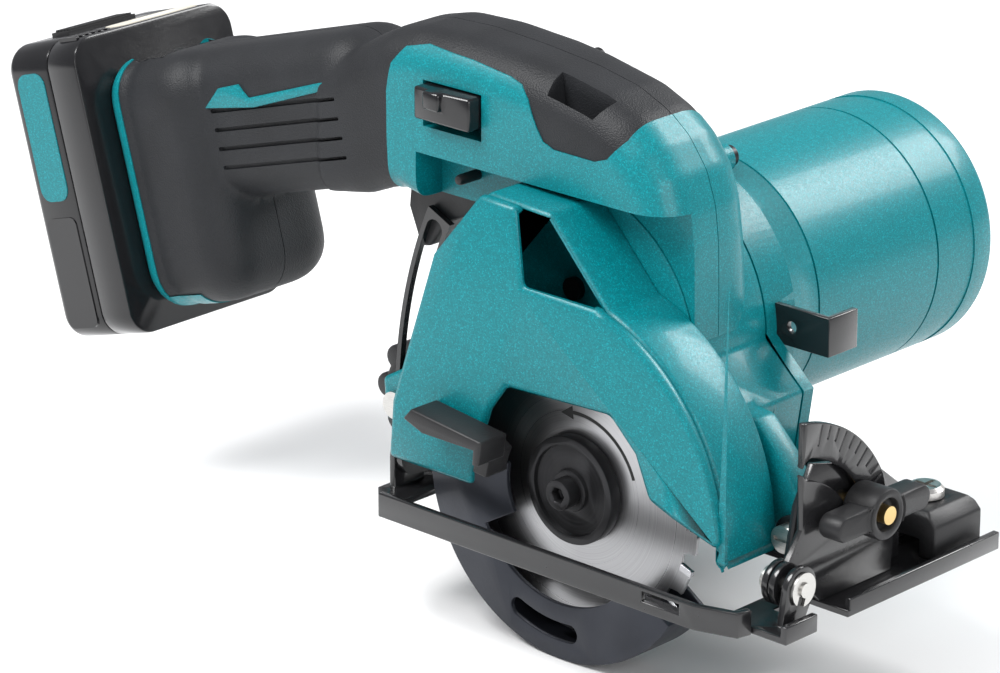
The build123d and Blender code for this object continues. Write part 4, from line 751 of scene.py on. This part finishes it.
@dataclass
class Handle:
    """The body, grip and foot: teal shells under moulded rubber, split along the middle."""

    body: list[Point] = field(default_factory=lambda: [
        (-100.0, 116.0), (-92.0, 119.5), (-84.0, 124.5), (-76.0, 128.5), (-66.0, 131.0), (-50.0, 131.5),
        (-30.0, 130.2), (-12.0, 128.2), (2.0, 125.4), (12.0, 121.2), (20.0, 115.0), (26.0, 107.0),
        (29.2, 98.0), (30.4, 88.0), (30.8, 72.0), (30.8, 58.0), (0.0, 58.0), (-46.0, 84.0),
        (-60.0, 84.0), (-69.0, 84.5), (-77.0, 82.0), (-84.0, 79.0), (-100.0, 76.0)])
    cheek: list[Point] = field(default_factory=lambda: [
        (-70.0, 60.0), (-72.0, 100.0), (-72.0, 113.0), (-70.5, 121.0), (-66.5, 126.0), (-59.0, 127.8),
        (-42.0, 126.8), (-28.0, 125.2), (-23.5, 124.0), (-20.0, 120.8), (-16.5, 114.0), (-14.2, 110.6),
        (-10.5, 109.2), (4.0, 109.0), (8.5, 110.6), (13.0, 116.0), (17.0, 132.0), (60.0, 140.0),
        (60.0, 60.0)])
    voxel: float = 1.1
    rim_end: float = 6.5
    lug_top: float = -32.5
    far_out: float = 60.0
    groove_heights: tuple[float, ...] = (3.0, 8.5, 14.0, 19.5)
    groove_half_height: float = 0.6
    seam: float = 0.25
    rubber_step: float = 0.35

    def build(self) -> None:
        """Model the form once, share it between shell and rubber, and split both along the middle."""
        form = self._form()
        for opening in self._openings():
            Bench.cut(form, opening, solver="MANIFOLD")
        rubber = self._copy(form, "handle_rubber")
        Bench.apply(rubber, "DISPLACE", strength=-self.rubber_step * MM, mid_level=0.0)
        cheek = Bench.outline("cheek_cutter", self.cheek, Side.ALONG_Y, -30.0, 70.0)
        wide = (-self.far_out, self.far_out)
        rim = leaning_block("rim_cutter", (-4.0, self.rim_end), wide, wide)
        lug = leaning_block("lug_cutter", (-4.0, 20.0), wide, (-self.far_out, self.lug_top))
        Bench.cut(cheek, rim, "UNION")
        Bench.cut(cheek, lug, "UNION")
        Bench.cut(rubber, cheek, keep=True, solver="MANIFOLD")
        Bench.cut(form, cheek, "INTERSECT", solver="MANIFOLD")
        self._grooves(rubber)
        for whole, finish, label in ((form, TEAL, "shell"), (rubber, RUBBER, "grip")):
            near = self._half(whole, f"near_{label}", True)
            far = self._half(whole, f"far_{label}", False)
            bpy.data.objects.remove(whole, do_unlink=True)
            hand_over(near, finish, "saw", f"right_{label}")
            hand_over(far, finish, "saw", f"left_{label}")
        self._stripe()

    def _form(self) -> bpy.types.Object:
        """Body, grip and foot joined and blended into one smooth form.

        Returns:
            The form.
        """
        body = Bench.outline("handle_form", self.body, Side.ALONG_Y, 0.3, 39.7)
        self._soften_body(body)
        grip = leaning_block("grip_block", (14.0, 100.0), (-17.8, 17.8), (-8.0, 37.0))
        Bench.round_edges(grip, 13.0, 6)
        foot = leaning_block("foot_block", (0.2, 37.0), (-23.8, 23.8), (-37.0, 37.3))
        Bench.round_edges(foot, 13.0, 6)
        back = leaning_block("foot_back", (-4.0, 16.0), (-23.8, 23.8), (-37.0, 37.3))
        Bench.take(back)
        bpy.ops.object.mode_set(mode="EDIT")
        bpy.ops.mesh.select_all(action="DESELECT")
        bpy.ops.object.mode_set(mode="OBJECT")
        for edge in back.data.edges:
            a, b = (back.data.vertices[i].co for i in edge.vertices)
            edge.select = abs((b - a).normalized().dot(AHEAD)) > 0.9
        bpy.ops.object.mode_set(mode="EDIT")
        bpy.ops.mesh.bevel(offset=12.0 * MM, segments=6, affect="EDGES")
        bpy.ops.object.mode_set(mode="OBJECT")
        for other in (grip, foot, back):
            Bench.cut(body, other, "UNION")
        Bench.apply(body, "REMESH", mode="VOXEL", voxel_size=self.voxel * MM, use_smooth_shade=True)
        Bench.apply(body, "SMOOTH", factor=0.5, iterations=9)
        return Bench.cut(body, leaning_block("foot_trim", (-20.0, 0.2), (-60.0, 60.0), (-60.0, 60.0)))

    def _soften_body(self, body: bpy.types.Object) -> None:
        """Round the body's long edges, most of all on the far side of the nose.

        Args:
            body: The body's prism.
        """
        weights = body.data.attributes.new("bevel_weight_edge", "FLOAT", "EDGE")
        for edge in body.data.edges:
            a, b = (body.data.vertices[i].co / MM for i in edge.vertices)
            middle = (a + b) / 2
            weight = 0.0
            if abs(a.y - b.y) < 1.0 and middle.x > -99.0:
                if middle.z > 88.0 and middle.y < 20.0:
                    weight = 0.62
                elif middle.z > 88.0:
                    weight = 1.0 if middle.x > -20.0 else 0.68
                elif middle.x > 20.0 and middle.z > 60.0:
                    weight = 0.9 if middle.y > 20.0 else 0.62
                elif middle.x < -60.0:
                    weight = 0.4
                elif middle.y > 20.0:
                    weight = 0.3
            weights.data[edge.index].value = weight
        Bench.apply(body, "BEVEL", width=18.5 * MM, segments=7, limit_method="WEIGHT",
                    use_clamp_overlap=False)

    def _openings(self) -> list[bpy.types.Object]:
        """What is cut out of both: the case, the gears, the trigger, the lock button and the battery's way.

        Returns:
            The cutters.
        """
        gears = Bench.rod("gears_way", Vector((-10.2, 9.4, 56.5)), Vector((-10.2, 60.0, 56.5)), 41.4, 96)
        case = upright_block("case_way", (-61.0, 61.0), (-30.0, 10.6), (0.0, 97.9))
        trigger = upright_block("trigger_way", (-84.5, -40.5), (11.2, 28.8), (57.0, 98.5))
        lock = upright_block("lock_way", (-58.1, -36.4), (-10.0, 50.0), (105.8, 118.8))
        battery = leaning_block("battery_way", (-1.0, 19.4), (-14.6, 14.6), (-26.5, 52.0))
        return [gears, case, trigger, lock, battery]

    def _grooves(self, rubber: bpy.types.Object) -> None:
        """Long grooves in the near side of the grip, one at each of the groove heights, and a dished front
        pad.

        Args:
            rubber: The rubber.
        """
        for up in self.groove_heights:
            groove = leaning_block("groove", (38.0, 92.0), (-19.5, -16.2),
                                   (up - self.groove_half_height, up + self.groove_half_height))
            Bench.round_edges(groove, 0.4, 2)
            Bench.cut(rubber, groove)
        pad = Bench.outline("pad_dish", [(-15.0, 128.0), (-3.0, 133.0), (6.0, 126.0), (1.0, 118.6),
                                         (-6.0, 116.6), (-14.0, 119.0)], Side.ALONG_Y, 2.4, 9.0)
        Bench.cut(rubber, pad)

    def _copy(self, piece: bpy.types.Object, name: str) -> bpy.types.Object:
        """A copy of a piece with its own mesh.

        Args:
            piece: The piece.
            name: The copy's name.

        Returns:
            The copy.
        """
        twin = bpy.data.objects.new(name, piece.data.copy())
        twin.data.name = name
        bpy.context.scene.collection.objects.link(twin)
        return twin

    def _half(self, piece: bpy.types.Object, name: str, near: bool) -> bpy.types.Object:
        """One half of a piece, split along the handle's middle.

        Args:
            piece: The whole piece.
            name: The half's name.
            near: Whether it is the half on the blade's side.

        Returns:
            The half.
        """
        half = self._copy(piece, name)
        Bench.take(half)
        bpy.ops.object.mode_set(mode="EDIT")
        bpy.ops.mesh.select_all(action="SELECT")
        cut_y = REAR.y + (-self.seam if near else self.seam) / 2
        bpy.ops.mesh.bisect(plane_co=(0.0, cut_y * MM, 0.0), plane_no=(0.0, 1.0, 0.0), use_fill=True,
                            clear_outer=near, clear_inner=not near)
        bpy.ops.object.mode_set(mode="OBJECT")
        return Bench.smooth(half, 38.0)

    def _stripe(self) -> None:
        """The thin teal wedge along the near side of the grip."""
        points = [(-146.0, 92.0), (-140.5, 99.0), (-133.0, 101.6), (-128.5, 98.6), (-85.0, 114.2),
                  (-86.0, 111.6), (-126.0, 96.4)]
        stripe = Bench.outline("grip_stripe", points, Side.ALONG_Y, 1.75, 4.0)
        Bench.round_edges(stripe, 0.25, 2)
        Bench.smooth(stripe)
        hand_over(stripe, TEAL, "saw")


# ---- Battery and motor details ----


@dataclass
class Markings:
    """Plain labels, panels and ribs on the battery."""

    def build(self) -> None:
        """Add each of them."""
        self._patch("battery_side_label", TEAL, (-27.5, -15.5), (-31.3, -30.6), (0.0, 38.0), 4.0)
        self._patch("battery_side_panel", GLOSS_BLACK, (-28.0, -15.0), (-31.4, -30.6), (-38.0, -5.0), 2.5)
        self._patch("battery_top_label", LABEL, (-12.2, -2.2), (-9.0, 23.0), (45.6, 46.25), 4.0)
        for step in range(6):
            across = -26.0 + step * 2.4
            self._patch(f"battery_rib_{step}", GLOSS_BLACK, (-11.0, -3.0), (across, across + 1.1),
                        (45.4, 46.5), 0.4)

    def _patch(self, name: str, finish: Finish, ahead: tuple[float, float], across: tuple[float, float],
               up: tuple[float, float], corner: float) -> None:
        """One raised patch with rounded corners, on the battery.

        Args:
            name: Its name.
            finish: Its finish.
            ahead: Where it starts and ends along the handle.
            across: Where it starts and ends across it.
            up: Where it starts and ends up it.
            corner: The radius of its corners.
        """
        piece = leaning_block(name, ahead, across, up)
        thin = min(((across[1] - across[0]), Vector((0.0, 1.0, 0.0))), ((up[1] - up[0]), UPWARD),
                   key=lambda pair: pair[0])[1]
        weights = piece.data.attributes.new("bevel_weight_edge", "FLOAT", "EDGE")
        for edge in piece.data.edges:
            a, b = (piece.data.vertices[i].co for i in edge.vertices)
            weights.data[edge.index].value = 1.0 if abs((b - a).normalized().dot(thin)) > 0.9 else 0.0
        Bench.apply(piece, "BEVEL", width=corner * MM, segments=6, limit_method="WEIGHT")
        Bench.smooth(piece)
        hand_over(piece, finish, "battery")


@dataclass
class MotorHousing:
    """The motor housing, with a rounded end and two seams turned into it."""

    radius: float = 37.2
    end: float = 145.4
    axis: tuple[float, float] = (-10.2, 56.5)

    def build(self) -> None:
        """Trim the end to a rounding and turn the seams."""
        housing = Bench.copy_node("motor_housing", "motor_body")
        core = self._rod("end_core", self.end - 27.0, self.end, self.radius + 0.2)
        Bench.round_edges(core, 5.0, 6)
        Bench.cut(housing, Bench.cut(self._rod("end_ring", self.end - 7.0, self.end + 4.0,
                                               self.radius + 6.0), core))
        for place, width, depth in ((66.0, 0.8, 0.5), (118.0, 0.8, 0.5), (132.0, 3.0, 0.35)):
            ring = self._rod("seam_ring", place, place + width, self.radius + 6.0)
            Bench.cut(ring, self._rod("seam_core", place - 4.0, place + width + 4.0, self.radius - depth))
            Bench.cut(housing, ring)
        Bench.smooth(housing, 30.0)
        hand_over(housing, TEAL, "saw", "motor_housing")

    def _rod(self, name: str, low: float, high: float, radius: float) -> bpy.types.Object:
        """A rod about the motor's axis.

        Args:
            name: The rod's name.
            low: Where it starts along the motor.
            high: Where it ends.
            radius: Its radius.

        Returns:
            The rod.
        """
        x, z = self.axis
        return Bench.rod(name, Vector((x, low, z)), Vector((x, high, z)), radius, 144)


@dataclass
class BladeMarks:
    """The curved arrow printed on the blade."""

    height: float = 17.0
    start: float = 20.0
    stop: float = 96.0

    def build(self) -> None:
        """Print the arrow just proud of the blade's near face."""
        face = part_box("saw_blade")[0][1] / MM
        LOG.info("the blade's near face is at %.2f mm", face)
        arc = self._arc(21.4, 20.4, self.start, self.stop)
        shaft = Bench.outline("arrow_shaft", arc, Side.ALONG_Y, face - 0.05, face + 0.1)
        tip = [self._spot(19.0, self.stop), self._spot(22.8, self.stop),
               self._spot(20.9, self.stop + 12.0)]
        head = Bench.outline("arrow_head", tip, Side.ALONG_Y, face - 0.05, face + 0.1)
        Bench.cut(shaft, head, "UNION")
        hand_over(shaft, CARBON, "arbor")

    def _spot(self, radius: float, degrees: float) -> Point:
        """A point of the blade's face from its distance and direction.

        Args:
            radius: How far it is from the blade's axis.
            degrees: Its direction, up from the feed direction.

        Returns:
            The point, along X and Z.
        """
        turn = math.radians(degrees)
        return radius * math.cos(turn), self.height + radius * math.sin(turn)

    def _arc(self, outer: float, inner: float, start: float, stop: float) -> list[Point]:
        """A curved band's outline.

        Args:
            outer: The band's outer radius.
            inner: Its inner radius.
            start: The angle at which it starts.
            stop: The angle at which it ends.

        Returns:
            The outline's points.
        """
        steps = [start + (stop - start) * i / 20 for i in range(21)]
        there = [self._spot(outer, step) for step in steps]
        back = [self._spot(inner, step) for step in reversed(steps)]
        return there + back


# ---- Studio ----

@dataclass
class Studio:
    """Floor, light and camera."""

    place: tuple[float, float, float] = (0.76695, -0.84330, 0.47145)
    right: tuple[float, float, float] = (0.7275, 0.6861, -0.0018)
    back: tuple[float, float, float] = (0.6457, -0.6838, 0.3397)
    lens: float = 164.7

    def build(self) -> None:
        """Set up the whole studio."""
        self._floor()
        self._light()
        self._tone()
        self._camera()
        LOG.info("studio is set")

    def _floor(self) -> None:
        """A large pale floor just under the lowest piece."""
        Bench.clear()
        low = CAD_BOX[0][2]
        bpy.ops.mesh.primitive_plane_add(size=8.0, location=(0.0, 0.0, low - 0.0002))
        floor = Bench.name_it("floor")
        bpy.ops.object.transform_apply(location=True, rotation=True, scale=True)
        sheet = Sheet("pale_floor")
        sheet.join(sheet.ramp(sheet.noise(3.0), [(0.0, (0.86, 0.86, 0.86)), (1.0, (0.9, 0.9, 0.9))]),
                   sheet.shader.inputs["Base Color"])
        sheet.shader.inputs["Roughness"].default_value = 0.7
        Bench.dress(floor, sheet.material)

    def _area(self, name: str, place: Vector, size: float, power: float, aim: Vector) -> None:
        """Add one soft lamp.

        Args:
            name: Its name.
            place: Where it hangs.
            size: Its width.
            power: Its power in watts.
            aim: The point it faces.
        """
        lamp = bpy.data.lights.new(name, "AREA")
        lamp.shape = "SQUARE"
        lamp.size = size
        lamp.energy = power
        holder = bpy.data.objects.new(name, lamp)
        holder.location = place
        holder.rotation_euler = (Vector(aim) - Vector(place)).to_track_quat("-Z", "Y").to_euler()
        bpy.context.scene.collection.objects.link(holder)

    def _light(self) -> None:
        """A pale surround, a key above, a fill on the blade's side and a rim from behind."""
        world = bpy.data.worlds.new("surround")
        world.use_nodes = True
        world.node_tree.nodes["Background"].inputs["Color"].default_value = (0.95, 0.96, 1.0, 1.0)
        world.node_tree.nodes["Background"].inputs["Strength"].default_value = 0.42
        bpy.context.scene.world = world
        self._area("key", (-0.35, -0.55, 1.0), 0.6, 19.0, (0.0, 0.02, 0.06))
        self._area("fill", (0.9, -0.35, 0.45), 0.6, 5.0, (0.0, 0.02, 0.05))
        self._area("rim", (0.25, 0.9, 0.75), 0.5, 12.0, (0.0, 0.06, 0.06))

    def _tone(self) -> None:
        """Plain colours, as under a neutral lamp."""
        bpy.context.scene.view_settings.view_transform = "Standard"

    def _camera(self) -> None:
        """The camera, from the saw's front right and a little above."""
        right = Vector(self.right).normalized()
        back = Vector(self.back).normalized()
        up = back.cross(right).normalized()
        back = right.cross(up).normalized()
        camera = bpy.data.cameras.new("camera")
        camera.lens = self.lens
        camera.sensor_width = 36.0
        camera.clip_start = 0.01
        holder = bpy.data.objects.new("camera", camera)
        turn = Matrix((right, up, back)).transposed().to_4x4()
        holder.matrix_world = Matrix.Translation(self.place) @ turn
        bpy.context.scene.collection.objects.link(holder)
        bpy.context.scene.camera = holder


def main() -> None:
    """Build every sub-assembly in order."""
    logging.basicConfig(level=logging.INFO, format="%(message)s")
    CarriedParts({"blade_case": 1.2, "case_cover": 1.4, "gear_housing": 1.0, "base": 0.35,
                  "quadrant": 0.25,
                  "front_bracket": 0.3, "guard_lever": 0.6, "hook": 0.3,
                  "lower_guard": 0.3, "outer_flange": 0.4, "blade_bolt": 0.3,
                  "depth_knob": 0.8, "wing_nut": 1.0, "fence_clamp": 0.6,
                  "trigger": 1.2, "lock_off_button": 0.8,
                  "battery_front_case": 0.8, "battery_rear_case": 0.8, "saw_blade": 0.0}).build()
    Handle().build()
    Markings().build()
    MotorHousing().build()
    BladeMarks().build()
    Studio().build()


if __name__ == "__main__":
    main()
